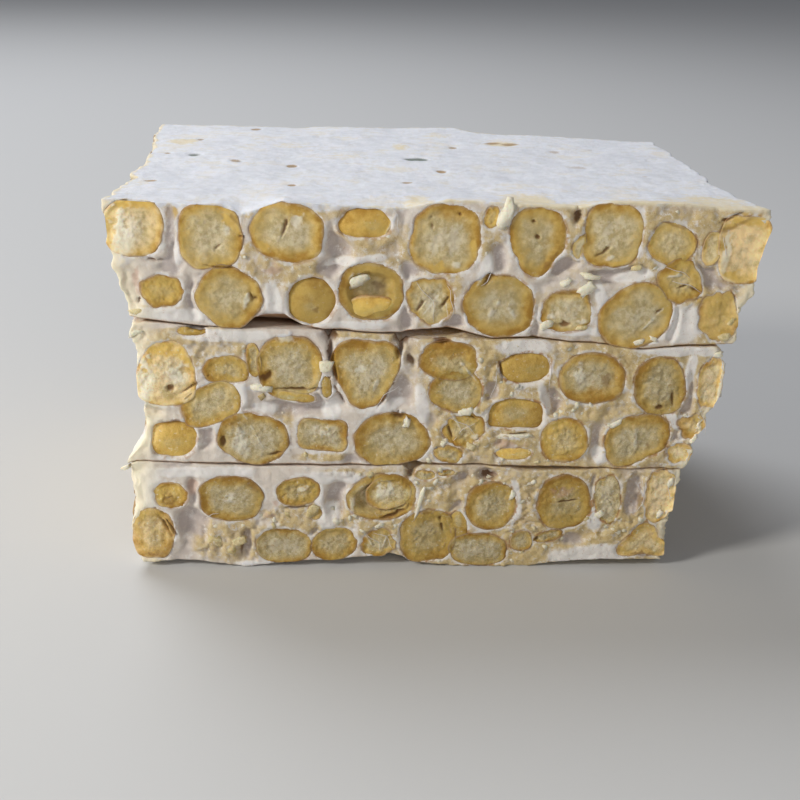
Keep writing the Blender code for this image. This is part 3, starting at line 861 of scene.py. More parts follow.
def deselect_all() -> None:
    """Leave nothing selected."""
    if bpy.context.object is not None and bpy.context.object.mode != "OBJECT":
        bpy.ops.object.mode_set(mode="OBJECT")
    bpy.ops.object.select_all(action="DESELECT")


def pick(*pieces: Piece) -> None:
    """Select these pieces alone and make the first one the active one."""
    deselect_all()
    for piece in pieces:
        piece.select_set(True)
    bpy.context.view_layer.objects.active = pieces[0]


def read_points(piece: Piece) -> Array:
    """Places of a mesh's vertices, one row each."""
    points = np.zeros(3 * len(piece.data.vertices), np.float32)
    piece.data.vertices.foreach_get("co", points)
    return points.reshape(-1, 3).astype(float)


def write_points(piece: Piece, points: Array) -> None:
    """Put a mesh's vertices at places given in millimetres."""
    piece.data.vertices.foreach_set("co", (points * MM).astype(np.float32).ravel())
    piece.data.update()


def write_shares(piece: Piece, **shares: Array | float) -> None:
    """Store named values on a mesh's vertices for its finish to read."""
    count = len(piece.data.vertices)
    for name, values in shares.items():
        attribute = piece.data.attributes.get(name) or piece.data.attributes.new(name, "FLOAT", "POINT")
        attribute.data.foreach_set("value", np.broadcast_to(np.asarray(values, np.float32), count).copy())


def copy_of(model: Piece, name: str) -> Piece:
    """Copy a modelled blank, with a mesh of its own."""
    made = model.copy()
    made.data = model.data.copy()
    made.name = name
    bpy.context.scene.collection.objects.link(made)
    return made


def join(pieces: list[Piece], name: str, finish: Material) -> Piece:
    """Join copies into one piece and dress it.

    Args:
        pieces: the copies.
        name: the joined piece's name.
        finish: its material.

    Returns:
        The joined piece.
    """
    pick(*pieces)
    bpy.ops.object.join()
    made = bpy.context.object
    made.name = made.data.name = name
    made.data.materials.clear()
    made.data.materials.append(finish)
    return made


def blank(add: Callable, *cuts: tuple[int, int], **sizes: float) -> Piece:
    """Model a smooth blank that pieces are copied from.

    Args:
        add: Blender's operator for its primitive.
        cuts: pairs of an axis and a number, the edges along the axis being divided into so many parts.
        sizes: the primitive's sizes and divisions.

    Returns:
        The blank.
    """
    deselect_all()
    add(**sizes)
    made = bpy.context.object
    if cuts:
        bpy.ops.object.mode_set(mode="EDIT")
        bpy.ops.mesh.select_mode(type="EDGE")
        for axis, parts in cuts:
            mesh = bmesh.from_edit_mesh(made.data)
            for edge in mesh.edges:
                run = edge.verts[1].co - edge.verts[0].co
                edge.select_set(abs(run[axis]) > 0.5 * run.length)
            bmesh.update_edit_mesh(made.data)
            bpy.ops.mesh.subdivide(number_cuts=parts - 1)
        bpy.ops.object.mode_set(mode="OBJECT")
    bpy.ops.object.shade_smooth()
    return made


def thin_out(piece: Piece, chosen: Array, ratio: float) -> None:
    """Collapse most faces of a part of a mesh that is hardly seen.

    Args:
        piece: the mesh.
        chosen: True for each vertex that takes part.
        ratio: share of the faces that stays.
    """
    pick(piece)
    bpy.ops.object.mode_set(mode="EDIT")
    bpy.ops.mesh.select_mode(type="VERT")
    bpy.ops.mesh.select_all(action="DESELECT")
    bpy.ops.object.mode_set(mode="OBJECT")
    piece.data.vertices.foreach_set("select", chosen)
    bpy.ops.object.mode_set(mode="EDIT")
    bpy.ops.mesh.decimate(ratio=ratio)
    bpy.ops.object.mode_set(mode="OBJECT")


def remove(*pieces: Piece) -> None:
    """Take blanks out of the scene once their copies are made."""
    for piece in pieces:
        bpy.data.objects.remove(piece, do_unlink=True)


# Finishes

class Tree:
    """Short hand for building a material's nodes; a value is a socket, a number or a colour."""

    def __init__(self, name: str) -> None:
        """Start a material with a Principled shader."""
        self.material = bpy.data.materials.new(name)
        self.material.use_nodes = True
        self.nodes = self.material.node_tree.nodes
        self.inputs = self.nodes["Principled BSDF"].inputs
        self.place = self.nodes.new("ShaderNodeTexCoord").outputs["Object"]

    def feed(self, socket: Socket, value: Socket | float | Rgb) -> None:
        """Link a value to a socket, or set it there."""
        if isinstance(value, Socket):
            self.material.node_tree.links.new(value, socket)
        else:
            socket.default_value = (*value, 1.0) if isinstance(value, tuple) else value

    def node(self, kind: str, out: str | int, *values: Socket | float, **settings: str | bool) -> Socket:
        """Add a node.

        Args:
            kind: its type, without the usual start of the name.
            out: which output to hand back.
            values: what goes into its first inputs; None leaves one as it is.
            settings: its own options.

        Returns:
            The output.
        """
        made = self.nodes.new("ShaderNode" + kind)
        for name, setting in settings.items():
            setattr(made, name, setting)
        for socket, value in zip(made.inputs, values):
            if value is not None:
                self.feed(socket, value)
        return made.outputs[out]

    def share(self, name: str) -> Socket:
        """Read a value stored on the mesh."""
        return self.node("Attribute", "Fac", attribute_name=name)

    def noise(self, per_mm: float, detail: float = 3.0, rough: float = 0.55) -> Socket:
        """Noise between 0 and 1 with so many lumps a millimetre."""
        return self.node("TexNoise", "Fac", self.place, None, per_mm / MM, detail, rough)

    def math(self, operation: str, *values: Socket | float, clamp: bool = False) -> Socket:
        """One Math node."""
        return self.node("Math", "Value", *values, operation=operation, use_clamp=clamp)

    def times(self, a: Socket | float, b: Socket | float) -> Socket:
        """Multiply two values."""
        return self.math("MULTIPLY", a, b)

    def line(self, value: Socket, slope: Socket | float, start: Socket | float) -> Socket:
        """Multiply a value by a slope and add a start to it."""
        return self.math("MULTIPLY_ADD", value, slope, start)

    def wobbled(self, value: Socket, *noises: Socket | float) -> Socket:
        """Shift a value by noise, evenly to both sides, each noise followed by its strength."""
        for noise, strength in zip(noises[::2], noises[1::2]):
            value = self.line(self.math("SUBTRACT", noise, 0.5), strength, value)
        return value

    def ramp(self, value: Socket, low: float, high: float) -> Socket:
        """Rise smoothly from 0 to 1 as a value goes from low to high."""
        return self.node("MapRange", "Result", value, low, high, interpolation_type="SMOOTHSTEP")

    def mix(self, share: Socket, a: Socket | Rgb, b: Socket | Rgb) -> Socket:
        """Blend from colour a to colour b."""
        return self.node("Mix", 2, share, None, None, None, None, None, a, b, data_type="RGBA")

    def tinted(self, colour: Socket, noises: Sequence, *tints: tuple[str, Rgb, float]) -> Socket:
        """Lay tints over a colour, each by the mesh's share of that name and its strength."""
        for name, tint, strength in tints:
            level = self.ramp(self.wobbled(self.share(name), *noises), 0.15, 0.95)
            colour = self.mix(self.times(level, strength), colour, tint)
        return colour

    def grain(self, broad: Socket, fine: Socket, broad_mm: float, fine_mm: float, strength: float) -> None:
        """Raise the surface by two noises, of so many millimetres each."""
        onto = self.node("Bump", "Normal", strength, broad_mm * MM, None, broad)
        self.feed(self.inputs["Normal"], self.node("Bump", "Normal", 0.9, fine_mm * MM, None, fine, onto))

    def soft(self, weight: float, radius_mm: Triple) -> None:
        """Let light into the surface, farther for red than for blue."""
        self.inputs["Subsurface Weight"].default_value = weight
        self.inputs["Subsurface Radius"].default_value = tuple(r * MM for r in radius_mm)
        self.inputs["Subsurface Scale"].default_value = 1.0


@dataclass(frozen=True)
class SoybeanFinish:
    """Cooked soybean: a golden rim round a pale mealy face, moist."""

    deep: Rgb = (0.44, 0.232, 0.030)
    rim: Rgb = (0.72, 0.488, 0.122)
    meal: Rgb = (0.52, 0.414, 0.203)
    cream: Rgb = (0.74, 0.634, 0.402)
    heart: Rgb = (0.73, 0.660, 0.520)
    olive: Rgb = (0.58, 0.405, 0.108)
    film: Rgb = (0.74, 0.690, 0.620)
    # painted glow: the peach of light shining through a thin lit edge
    painted_glow_peach: Rgb = (0.98, 0.705, 0.360)
    pale: Rgb = (0.86, 0.815, 0.680)
    pink: Rgb = (0.62, 0.400, 0.290)
    # brown: the dark marks, and the painted shadow line round a bean's outline
    brown: Rgb = (0.210, 0.090, 0.022)

    def material(self, name: str) -> Material:
        """Build the node material.

        Args:
            name: what the material is called.

        Returns:
            The material.
        """
        t = Tree(name)
        band, tone, edge, rough, whole = (t.share(n) for n in ("band", "tone", "edge", "grain", "whole"))
        broad, coarse, middling = t.noise(0.22, 2), t.noise(0.6, 3), t.noise(1.6, 4)
        fine = t.line(t.math("SUBTRACT", t.noise(5.0, 4, 0.7), 0.5), rough, 0.5)
        # the mealy inside: olive to golden in a ripe bean, pale meal in a ripe one's heart
        grain = t.wobbled(middling, fine, 0.9, coarse, 0.6)
        meal = t.mix(t.ramp(grain, 0.30, 0.72), self.meal, self.cream)
        golden = t.mix(t.ramp(t.wobbled(coarse, fine, 0.5), 0.25, 0.8), self.olive, self.rim)
        depth = t.wobbled(t.share("core"), broad, 1.0, coarse, 0.7)
        ripe = t.line(depth, -0.75, t.math("ADD", tone, 0.50))
        inner = t.mix(t.ramp(t.wobbled(ripe, middling, 0.7, fine, 0.4), 0.05, 0.95), meal, golden)
        heart = t.times(t.ramp(t.wobbled(depth, middling, 0.8), 0.60, 1.15), t.ramp(tone, 0.44, 0.05))
        inner = t.mix(t.times(heart, 0.55), inner, self.heart)
        # the golden rim, deepest at the outline
        outer = t.wobbled(t.line(whole, 0.12, t.math("MINIMUM", band, 0.60)), broad, 1.6, coarse, 1.5)
        skin = t.mix(t.ramp(t.wobbled(outer, middling, 0.9, fine, 0.7), -0.10, 1.10), self.deep, self.rim)
        border = t.wobbled(band, broad, 1.1, coarse, 0.9, middling, 0.6)
        border = t.times(border, t.math("SUBTRACT", 1.0, t.times(whole, 0.7)))
        colour = t.mix(t.ramp(border, 0.20, 1.60), skin, inner)
        # painted glow where light shines through a thin lit edge
        colour = t.mix(t.times(t.share("warm"), t.ramp(coarse, 0.25, 0.85)), colour, self.painted_glow_peach)
        colour = t.tinted(colour, (fine, 0.5, middling, 0.5),
                          ("gold", self.rim, 0.9), ("pink", self.pink, 0.6), ("pale", self.pale, 0.75))
        # dark and pale grains, a painted shadow line round the outline, threads of film and the marks
        inside, specks = t.times(t.ramp(band, 0.3, 1.0), rough), t.noise(1.9, 4, 0.7)
        for low, high, most, tint in ((0.57, 0.70, 0.42, self.deep), (0.43, 0.31, 0.40, self.pale)):
            colour = t.mix(t.times(t.times(t.ramp(specks, low, high), most), inside), colour, tint)
        # painted shadow where the bean meets the mycelium
        outline = t.ramp(t.wobbled(edge, coarse, 0.7, broad, 0.5), 0.32, -0.05)
        colour = t.mix(t.times(outline, 0.32), colour, self.brown)
        film = t.ramp(t.math("SUBTRACT", t.wobbled(coarse, middling, 0.9), edge), 0.05, 0.50)
        colour = t.mix(t.times(film, 0.20), colour, self.film)
        # the dark marks: stains, and cracks and holes whose brown is partly painted shade
        dark = t.ramp(t.wobbled(t.share("dark"), fine, 0.4), 0.15, 1.0)
        colour = t.mix(t.times(dark, 0.85), colour, self.brown)
        # light scales the colour: partly the bean's own brightness, partly painted light
        colour = t.node("VectorMath", "Vector", colour, None, None, t.share("light"), operation="SCALE")
        t.feed(t.inputs["Base Color"], colour)
        t.feed(t.inputs["Roughness"], t.line(t.ramp(band, 1.3, 0.2), -0.14, 0.58))
        t.inputs["Specular IOR Level"].default_value = 0.36
        t.grain(t.times(middling, rough), fine, 0.16, 0.09, 0.9)
        t.soft(0.20, (1.2, 0.7, 0.30))
        return t.material


@dataclass(frozen=True)
class MyceliumFinish:
    """The white felt that binds the beans: smooth skin outside, webs, paste and pockets on a cut wall."""

    # the skin's blue tint is painted: the cool window light on the white top
    skin: Rgb = (0.79, 0.805, 0.865)
    # stain_and_glow: the cream of the skin's stains, and the painted glow at its left edge
    stain_and_glow: Rgb = (0.80, 0.700, 0.500)
    web: Rgb = (0.755, 0.680, 0.605)
    lining: Rgb = (0.88, 0.850, 0.825)
    paste: Rgb = (0.60, 0.452, 0.215)
    cream: Rgb = (0.71, 0.565, 0.305)
    # partly a lilac tint, partly painted shade that darkens pockets and sags
    lilac_and_painted_shade: Rgb = (0.54, 0.470, 0.450)
    # painted shade: the brown of shadow in the joints between slabs and in the clefts by the beans; also
    # brown specks
    seam: Rgb = (0.42, 0.200, 0.062)
    gold: Rgb = (0.66, 0.450, 0.150)
    # painted glow: light shining through the thin ends
    warm: Rgb = (1.00, 0.900, 0.680)
    pink: Rgb = (0.60, 0.420, 0.330)
    # brown of the dark marks; in cracks and holes partly painted shade
    brown: Rgb = (0.165, 0.070, 0.022)
    grey: Rgb = (0.20, 0.230, 0.210)
    brownish: Rgb = (0.42, 0.290, 0.170)
    shade: Rgb = (0.62, 0.640, 0.690)

    def material(self, name: str) -> Material:
        """Build the node material.

        Args:
            name: what the material is called.

        Returns:
            The material.
        """
        t = Tree(name)
        broad, coarse = t.noise(0.16, 3), t.noise(0.5, 4)
        middling, fine = t.noise(1.4, 4), t.noise(5.0, 4, 0.7)
        # a cut wall: web or mealy paste, with what the layout lays over them
        ripe, cream, gap = t.share("ripe"), t.share("cream"), t.share("gap")
        mealy = t.mix(t.ramp(t.wobbled(middling, fine, 0.9), 0.30, 0.70), self.paste, self.cream)
        blend = t.wobbled(ripe, coarse, 1.1, middling, 0.9, fine, 0.5)
        colour = t.mix(t.ramp(blend, 0.15, 0.85), self.web, mealy)
        # lilac_and_painted_shade: painted shade in pockets and sags, over a faint lilac tint
        for share, tint, low, high, most in (
                ("cream", mealy, 0.15, 0.85, 0.95), ("gold", self.gold, 0.20, 0.90, 0.95),
                ("lilac_and_painted_shade", self.lilac_and_painted_shade, 0.05, 1.10, 0.90), ("white", self.lining, 0.05, 0.95, 0.92)):
            level = t.ramp(t.wobbled(t.share(share), middling, 1.1, coarse, 0.9), low, high)
            colour = t.mix(t.times(level, most), colour, tint)
        # a white veil and brown pits, stronger where the paste is golden
        pasty = t.math("MAXIMUM", ripe, cream)
        golden = t.ramp(pasty, 0.15, 0.75)
        for per_mm, detail, low, high, slope, start, tint in ((0.9, 5, 0.52, 0.68, 0.3, 0.5, self.lining),
                                                              (2.4, 4, 0.56, 0.70, 0.4, 0.12, self.seam)):
            level = t.ramp(t.noise(per_mm, detail, 0.75), low, high)
            colour = t.mix(t.times(level, t.line(golden, slope, start)), colour, tint)
        # the white lining round the beans, and painted brown shade in the clefts beside them
        lining = t.ramp(t.wobbled(gap, middling, 0.9, coarse, 2.6), 0.50, -0.10)
        bare = t.math("SUBTRACT", 0.80, t.times(pasty, 0.1), clamp=True)
        colour = t.mix(t.times(lining, bare), colour, self.lining)
        painted_cleft_shade = t.times(t.ramp(gap, 0.38, 0.02), t.ramp(t.wobbled(coarse, middling, 0.5), 0.46, 0.62))
        colour = t.mix(t.times(painted_cleft_shade, t.line(ripe, 0.5, 0.45)), colour, self.seam)
        # the smooth skin, faintly mottled
        swathe = t.ramp(t.wobbled(broad, coarse, 0.8, middling, 0.5), 0.48, 0.80)
        skin = t.mix(t.times(swathe, 0.42), self.skin, self.stain_and_glow)
        shade = t.ramp(t.wobbled(coarse, middling, 0.6, broad, -0.9), 0.38, 0.70)
        skin = t.mix(t.times(shade, 0.42), skin, self.shade)
        skin = t.mix(t.times(t.ramp(t.noise(1.3, 4, 0.7), 0.60, 0.74), 0.50), skin, self.stain_and_glow)
        # stains, and the painted glow along the left edge
        stain_and_glow = t.ramp(t.wobbled(t.share("stain_and_glow"), middling, 0.9, coarse, 0.7), 0.2, 1.0)
        skin = t.mix(stain_and_glow, skin, self.stain_and_glow)
        for share, tint in (("speck", self.brownish), ("spot", self.grey)):
            skin = t.mix(t.ramp(t.wobbled(t.share(share), fine, 0.5), 0.25, 0.80), skin, tint)
        outside = t.ramp(t.wobbled(t.share("under"), middling, 0.7, coarse, 0.6), 0.9, 0.2)
        colour = t.mix(outside, colour, skin)
        # painted glow at the thin ends, where light shines through
        colour = t.mix(t.times(t.share("warm"), 0.9), colour, self.warm)
        colour = t.tinted(colour, (fine, 0.4, middling, 0.3),
                          ("pink", self.pink, 0.7), ("pale", self.skin, 0.7), ("dark", self.brown, 0.85))
        # painted shade in the joints between the slabs
        colour = t.mix(t.times(t.ramp(t.share("seam"), 0.1, 1.0), 0.8), colour, self.seam)
        t.feed(t.inputs["Base Color"], colour)
        t.inputs["Roughness"].default_value = 0.68
        t.inputs["Specular IOR Level"].default_value = 0.30
        t.grain(middling, fine, 0.10, 0.09, 0.7)
        t.soft(0.14, (0.9, 0.65, 0.45))
        return t.material


# The slabs' bodies

@dataclass(frozen=True)
class SkinMarks:
    """Spots, stains and pits of the white skin on top, in rows of x, y, length, width and strength."""

    spots: Rows = (
        (-38.8, 3.1, 2.8, 2.4, 0.9), (-30.8, -3.1, 1.8, 1.6, 0.5), (-1.3, 0.2, 4.4, 2.6, 1.2),
        (-38.8, 17.4, 1, 1, 0.6), (-22.2, -5.5, 1, 1.2, 0.5),
    )
    specks: Rows = (
        (-22.2, -5.5, 1.8, 2.4, 1), (-21.9, -20.9, 1.5, 1.6, 0.8), (-43.2, -18.6, 2.4, 1.8, 0.8),
        (-4.4, -18.5, 2, 1.6, 0.9), (-38.8, 17.4, 1.6, 1.8, 0.9), (-43.1, 4.4, 1.6, 1.6, 0.8),
        (-29.6, 29.4, 2.4, 2.6, 0.8), (1.6, -9.5, 2, 2.2, 1.1), (5.8, 13.1, 1.6, 1.8, 0.8),
        (23.2, 9.4, 2.6, 2.4, 0.55), (24.7, -4.6, 4, 2.4, 0.5), (13.2, 17.4, 4.4, 2, 0.8),
        (16.6, 16.6, 4.6, 1.8, 0.8), (-31.4, -2.6, 2.2, 2, 0.7), (-12.2, 14, 1.6, 1.4, 0.5),
        (12, -2, 1.6, 1.4, 0.5), (-11, -3, 1.2, 1.2, 0.4), (34, -12, 1.8, 1.6, 0.5),
        (-18, 22, 1.4, 1.6, 0.5), (30, 12, 1.8, 1.8, 0.5), (-34, -12, 1.4, 1.2, 0.4),
    )
    stains: Rows = (
        (-41.5, 15, 7, 6, 0.9), (14.8, 16.6, 7.5, 4, 1), (-3.7, 11.9, 4, 5, 0.8), (-22, 13, 9, 6, 0.5),
        (-12, 5, 12, 6, 0.35), (4, 24, 6, 5, 0.6), (-30, -6, 9, 6, 0.35), (12, 3, 8, 5, 0.4),
        (-44, -20, 4, 5, 0.5), (12.5, -30, 9, 9, 0.9), (24, -31, 18, 5, 0.6), (40, -29.5, 14, 8, 0.8),
        (-3.5, -31, 5, 7, 0.8), (33, -4, 9, 6, 0.3),
    )

    def share(self, rows: Rows, x: Array, y: Array, wobble: Array) -> Array:
        """Strength of the nearest of these marks at each place.

        Args:
            rows: the marks.
            x: places across.
            y: places front to back.
            wobble: noise that frays their edges.

        Returns:
            One strength for each place.
        """
        found = np.zeros(len(x))
        for u, v, long, wide, strength in rows:
            ratio = np.hypot(2.0 * (x - u) / long, 1.6 * (y - v) / wide)
            found = np.maximum(found, strength * smooth(1.4, 0.3, ratio + 0.45 * wobble))
        return found


class SlabBody:
    """The mycelium body of one slab, with the relief of its cut walls."""

    CUTS = ((0, 4), (0, 85), (1, 2), (1, 50), (2, 76))      # the block's cells, as axis and parts in turn
    FRONT_BIAS = 0.65        # how much finer the cells along y get towards the front
    FADE = 3.0               # how deep a wall's relief is felt behind it
    SURFACE = 0.6            # how deep its colours reach
    FAR = 3.0                # stands for a place that no bean or skin is near
    BEAN_BED = 1.1           # how far the body drops away under a bean
    HOLLOW_BED = 2.4         # the same under a hollow bean
    RAGGED = {Wall.LEFT: 0.40, Wall.RIGHT: 0.80, Wall.BACK: 0.0}    # roughness of the ends behind the front
    RAGGED_LEAST = 0.34      # and of all walls but the front farther back
    PROUD = 0.25             # the most that a wall's relief stands out
    HIDDEN, BEHIND = 0.03, 0.45      # share of the faces that stays in a joint, and on the back

    def __init__(self, form: Form, walls: dict[Wall, Layout], block: Piece, mycelium: Material) -> None:
        """Shape one body.

        Args:
            form: the slab's shape.
            walls: what lies in each wall.
            block: the block to copy.
            mycelium: its finish.
        """
        self.form, self.walls = form, walls
        self.piece = copy_of(block, form.node.replace("slab", "mycelium"))
        self.cube = read_points(self.piece)
        self.shape()
        self.thin()
        self.piece.data.materials.append(mycelium)

    def block_shares(self) -> tuple[Array, Array, Array]:
        """Shares along x, y and z of the block's points, its edges rounded."""
        half = 0.5 * np.array(STACK.block)
        depth = 0.5 + 0.5 * self.cube[:, 1]
        graded = (1.0 - self.FRONT_BIAS) * depth + self.FRONT_BIAS * depth * depth
        place = np.column_stack((self.cube[:, 0], 2.0 * graded - 1.0, self.cube[:, 2])) * half
        core = np.clip(place, -(half - STACK.edge), half - STACK.edge)
        reach = place - core
        length = np.linalg.norm(reach, axis=1)
        reach *= np.where(length > STACK.edge, STACK.edge / np.maximum(length, 1e-9), 1.0)[:, None]
        shares = 0.5 + 0.5 * (core + reach) / half
        return shares[:, 0], shares[:, 1], shares[:, 2]

    def shape(self) -> None:
        """Place the vertices, press the walls' relief in and store what the finish reads."""
        form = self.form
        points = form.place(*self.block_shares())
        names = ("cream", "gold", "lilac_and_painted_shade", "white", "warm", "pink", "pale", "dark", "stain_and_glow", "spot", "speck")
        shares = {name: np.zeros(len(points)) for name in names}
        shares["ripe"] = form.ripeness(points)
        shares["gap"] = np.full(len(points), self.FAR)
        moved = points.copy()
        for wall, layout in self.walls.items():
            self.press(wall, layout, points, moved, shares)
        self.swell_skin(points, moved, shares)
        self.paint_edge_glow(points, shares)
        if form.level == 0:
            moved[:, 2] = np.maximum(moved[:, 2], 0.0)
        write_points(self.piece, moved)
        write_shares(self.piece, **shares)

    def press(self, wall: Wall, layout: Layout, points: Array, moved: Array, shares: Shares) -> None:
        """Press one wall's relief in.

        Args:
            wall: which wall.
            layout: what lies in it.
            points: the even body's places.
            moved: the places to shift.
            shares: the values to raise.
        """
        x, y, z = points.T
        behind = self.form.behind(wall, x, y, z)
        u = x if wall in LONG_WALLS else y
        near = np.flatnonzero(behind < self.FADE)
        surface = behind[near] < self.SURFACE
        out, found = self.relief(layout, points[near], u[near], z[near])
        if wall is not Wall.FRONT:
            ragged = smooth(7.0, 0.0, y[near] - self.form.front) * self.RAGGED[wall]
            ragged = np.maximum(ragged, self.RAGGED_LEAST)
            out += ragged * (clouds(points[near], 1.6, 41, 3) + 0.5 * clouds(points[near], 0.7, 42, 2))
            out += 0.45 * cloud(points[near], 5.5, 43)
        axis = 1 if wall in LONG_WALLS else 0
        moved[near, axis] += sum(OUTWARD[wall]) * out * smooth(self.FADE, 0.0, behind[near])
        gap = np.where(surface, found.pop("gap"), self.FAR)
        shares["gap"][near] = np.minimum(shares["gap"][near], gap)
        for name, values in found.items():
            shares[name][near] = np.maximum(shares[name][near], values * surface)

    def relief(self, layout: Layout, points: Array, u: Array, v: Array) -> tuple[Array, Shares]:
        """Height of a wall's surface over its plane, and what it is made of.

        Args:
            layout: what lies in the wall.
            points: the places in space.
            u: places along the wall.
            v: heights.

        Returns:
            The height outwards in millimetres and the shares of each kind of surface.
        """
        wobble = clouds(points, 2.4, 11, 3)
        lap = clouds(points, 1.5, 16, 2)
        out = -0.08 + 0.16 * clouds(points, 3.6, 12, 2) + 0.15 * clouds(points, 1.3, 13, 3)
        out += 0.16 * (0.5 - np.abs(clouds(points, 1.9, 17, 2)) * 2.0)
        gap, bed = np.full(len(u), 9.0), np.zeros(len(u))
        for bean in layout.beans:
            near = np.hypot(u - bean.u, v - bean.v) < 0.5 * bean.larger * 1.35 + 3.0
            distance = bean.gap(u[near], v[near])
            gap[near] = np.minimum(gap[near], distance)
            drop = self.HOLLOW_BED if bean.cut is Cut.HOLLOW else self.BEAN_BED
            bed[near] = np.maximum(bed[near], drop * smooth(-0.10, -0.55, distance + 0.22 * lap[near]))
        found = {name: np.zeros(len(u)) for name in ("cream", "gold", "lilac_and_painted_shade", "white")}
        free = smooth(0.0, 0.9, gap)
        crumb, grit = clouds(points, 1.1, 14, 3), clouds(points, 0.5, 18, 2)
        speck = clouds(points, 2.0, 19, 2)
        mealy = np.clip(self.form.ripeness(points), 0.0, 1.0) * self.form.grain * smooth(0.1, 0.6, gap)
        out += mealy * (0.17 * crumb + 0.15 * grit)
        sag = smooth(0.5, 2.0, gap) * smooth(-0.5, 0.4, cloud(points, 4.5, 15))
        out -= 0.45 * sag
        # painted shade in the sag
        found["lilac_and_painted_shade"] = 0.55 * sag
        for patch in layout.patches:
            share = patch.share(u, v, wobble)
            if patch.fill is POCKET:
                out -= 0.8 * patch.depth * share * free
                # painted shade darkening the pocket
                found["lilac_and_painted_shade"] = np.maximum(found["lilac_and_painted_shade"], share * (0.2 + 0.7 * free))
            elif patch.fill is WHITE:
                out += share * (0.10 - 0.3 * out * share)
                found["white"] = np.maximum(found["white"], share)
                found["lilac_and_painted_shade"] *= 1.0 - 0.8 * share
            elif patch.fill is CREAM:
                out += share * (0.08 + self.form.grain * (0.30 * crumb + 0.14 * grit))
                found["cream"] = np.maximum(found["cream"], share * (0.75 + 0.6 * crumb))
                found["gold"] = np.maximum(found["gold"], 0.9 * share * smooth(0.15, 0.6, speck))
            else:
                out -= patch.depth * share
        touched = layout.touched(u, v)
        lip = np.exp(-((gap - 0.25) / 0.25) ** 2) * smooth(-0.4, 0.5, wobble)
        out += (-0.07 - out) * 0.7 * smooth(0.5, 0.1, gap) + 0.04 * lip
        out -= touched.pop("sink")
        out = np.minimum(out, self.PROUD)
        out = np.where(bed > 0.0, np.minimum(out, -0.05) - bed, out)
        return out, {**found, **touched, "gap": np.maximum(gap, 0.0)}

    def swell_skin(self, points: Array, moved: Array, shares: Shares) -> None:
        """Give the top skin its swells, pits and marks, paint brown shade into the joints, and say how deep
        each place lies under it.

        Args:
            points: the even body's places.
            moved: the places to shift.
            shares: the values to fill in.
        """
        form = self.form
        x, y, z = points.T
        under, over, inward = form.high(x, y) - z, z - form.low(x, y), y - form.front
        # painted brown shade on the faces inside the joints, near the front
        below = smooth(9.0, 1.0, inward) * smooth(0.25, 0.0, over) * (form.level > 0)
        above = smooth(9.0, 6.0, inward) * smooth(2.5, 6.0, inward) * smooth(0.25, 0.0, under)
        shares["seam"] = np.maximum(below, above * (form.level < 2))
        if form.level < 2:
            shares["under"] = np.where((inward > 6.0) & ((under < 0.02) | (over < 0.02)), 0.0, self.FAR)
            return
        flat = np.column_stack((x, y, np.zeros(len(x))))
        wobble = clouds(flat, 2.2, 21, 2)
        marks = SkinMarks()
        shares["spot"] = marks.share(marks.spots, x, y, wobble)
        shares["speck"] = marks.share(marks.specks, x, y, wobble)
        reach = 1.3 + 2.4 * smooth(2.0, 26.0, x) + 1.5 * wobble
        edges = (0.35 + 0.45 * smooth(-14.0, 2.0, x)) * smooth(reach, 0.2 * reach, inward)
        edges *= 1.0 + 0.6 * wobble
        # painted glow along the left edge, where light shines through; cream along the back edge
        edges = np.maximum(edges, 0.9 * smooth(1.3 + wobble, 0.0, form.behind(Wall.LEFT, x, y, z)))
        edges = np.maximum(edges, 0.8 * smooth(1.2 + wobble, 0.0, form.behind(Wall.BACK, x, y, z)))
        shares["stain_and_glow"] = np.maximum(marks.share(marks.stains, x, y, wobble), edges)
        swell = 0.24 * cloud(flat, 9.0, 22) + 0.12 * clouds(flat, 3.2, 23, 2)
        swell += 0.06 * clouds(flat, 1.0, 24, 2)
        swell -= 0.30 * np.maximum(shares["spot"], 0.6 * shares["speck"])
        moved[:, 2] += swell * smooth(1.5, 0.0, under)
        thick = 0.15 + 0.9 * np.maximum(clouds(flat, 5.0, 25, 2), -0.1) * smooth(8.0, -6.0, x)
        shares["under"] = np.maximum(under - thick, 0.0) + 0.35 * (under > 0.1)

    def paint_edge_glow(self, points: Array, shares: Shares) -> None:
        """Paint the glow of light shining through the thin ends of the front wall."""
        left, right = (self.form.behind(wall, *points.T) for wall in (Wall.LEFT, Wall.RIGHT))
        front = smooth(5.0, 0.0, points[:, 1] - self.form.front)
        shares["warm"] = front * np.maximum(smooth(5.5, 0.0, left), 0.9 * smooth(2.0, 0.2, right))
        if self.form.level == 2:
            shares["warm"] *= smooth(0.0, 0.8, shares["under"])

    def thin(self) -> None:
        """Spend fewer faces on what is hidden or behind."""
        (a, b, c), data, edge = self.cube.T, self.piece.data, 0.985
        inner = (np.abs(a) < edge) & (np.abs(b) < edge)
        parts = [((c < -0.999) & inner, self.HIDDEN),
                 ((b > 0.999) & (np.abs(a) < edge) & (np.abs(c) < 0.95), self.BEHIND)]
        if self.form.level < 2:
            parts.append(((c > 0.999) & inner & (b > -0.95), self.HIDDEN))
        kept = np.zeros(len(a))
        for number, (chosen, _) in enumerate(parts):
            kept[chosen] = number + 1
        write_shares(self.piece, thin=kept)
        for number, (_, ratio) in enumerate(parts):
            values = np.zeros(len(data.vertices), np.float32)
            data.attributes["thin"].data.foreach_get("value", values)
            thin_out(self.piece, np.abs(values - number - 1) < 1e-3, ratio)
        data.attributes.remove(data.attributes["thin"])


# The beans

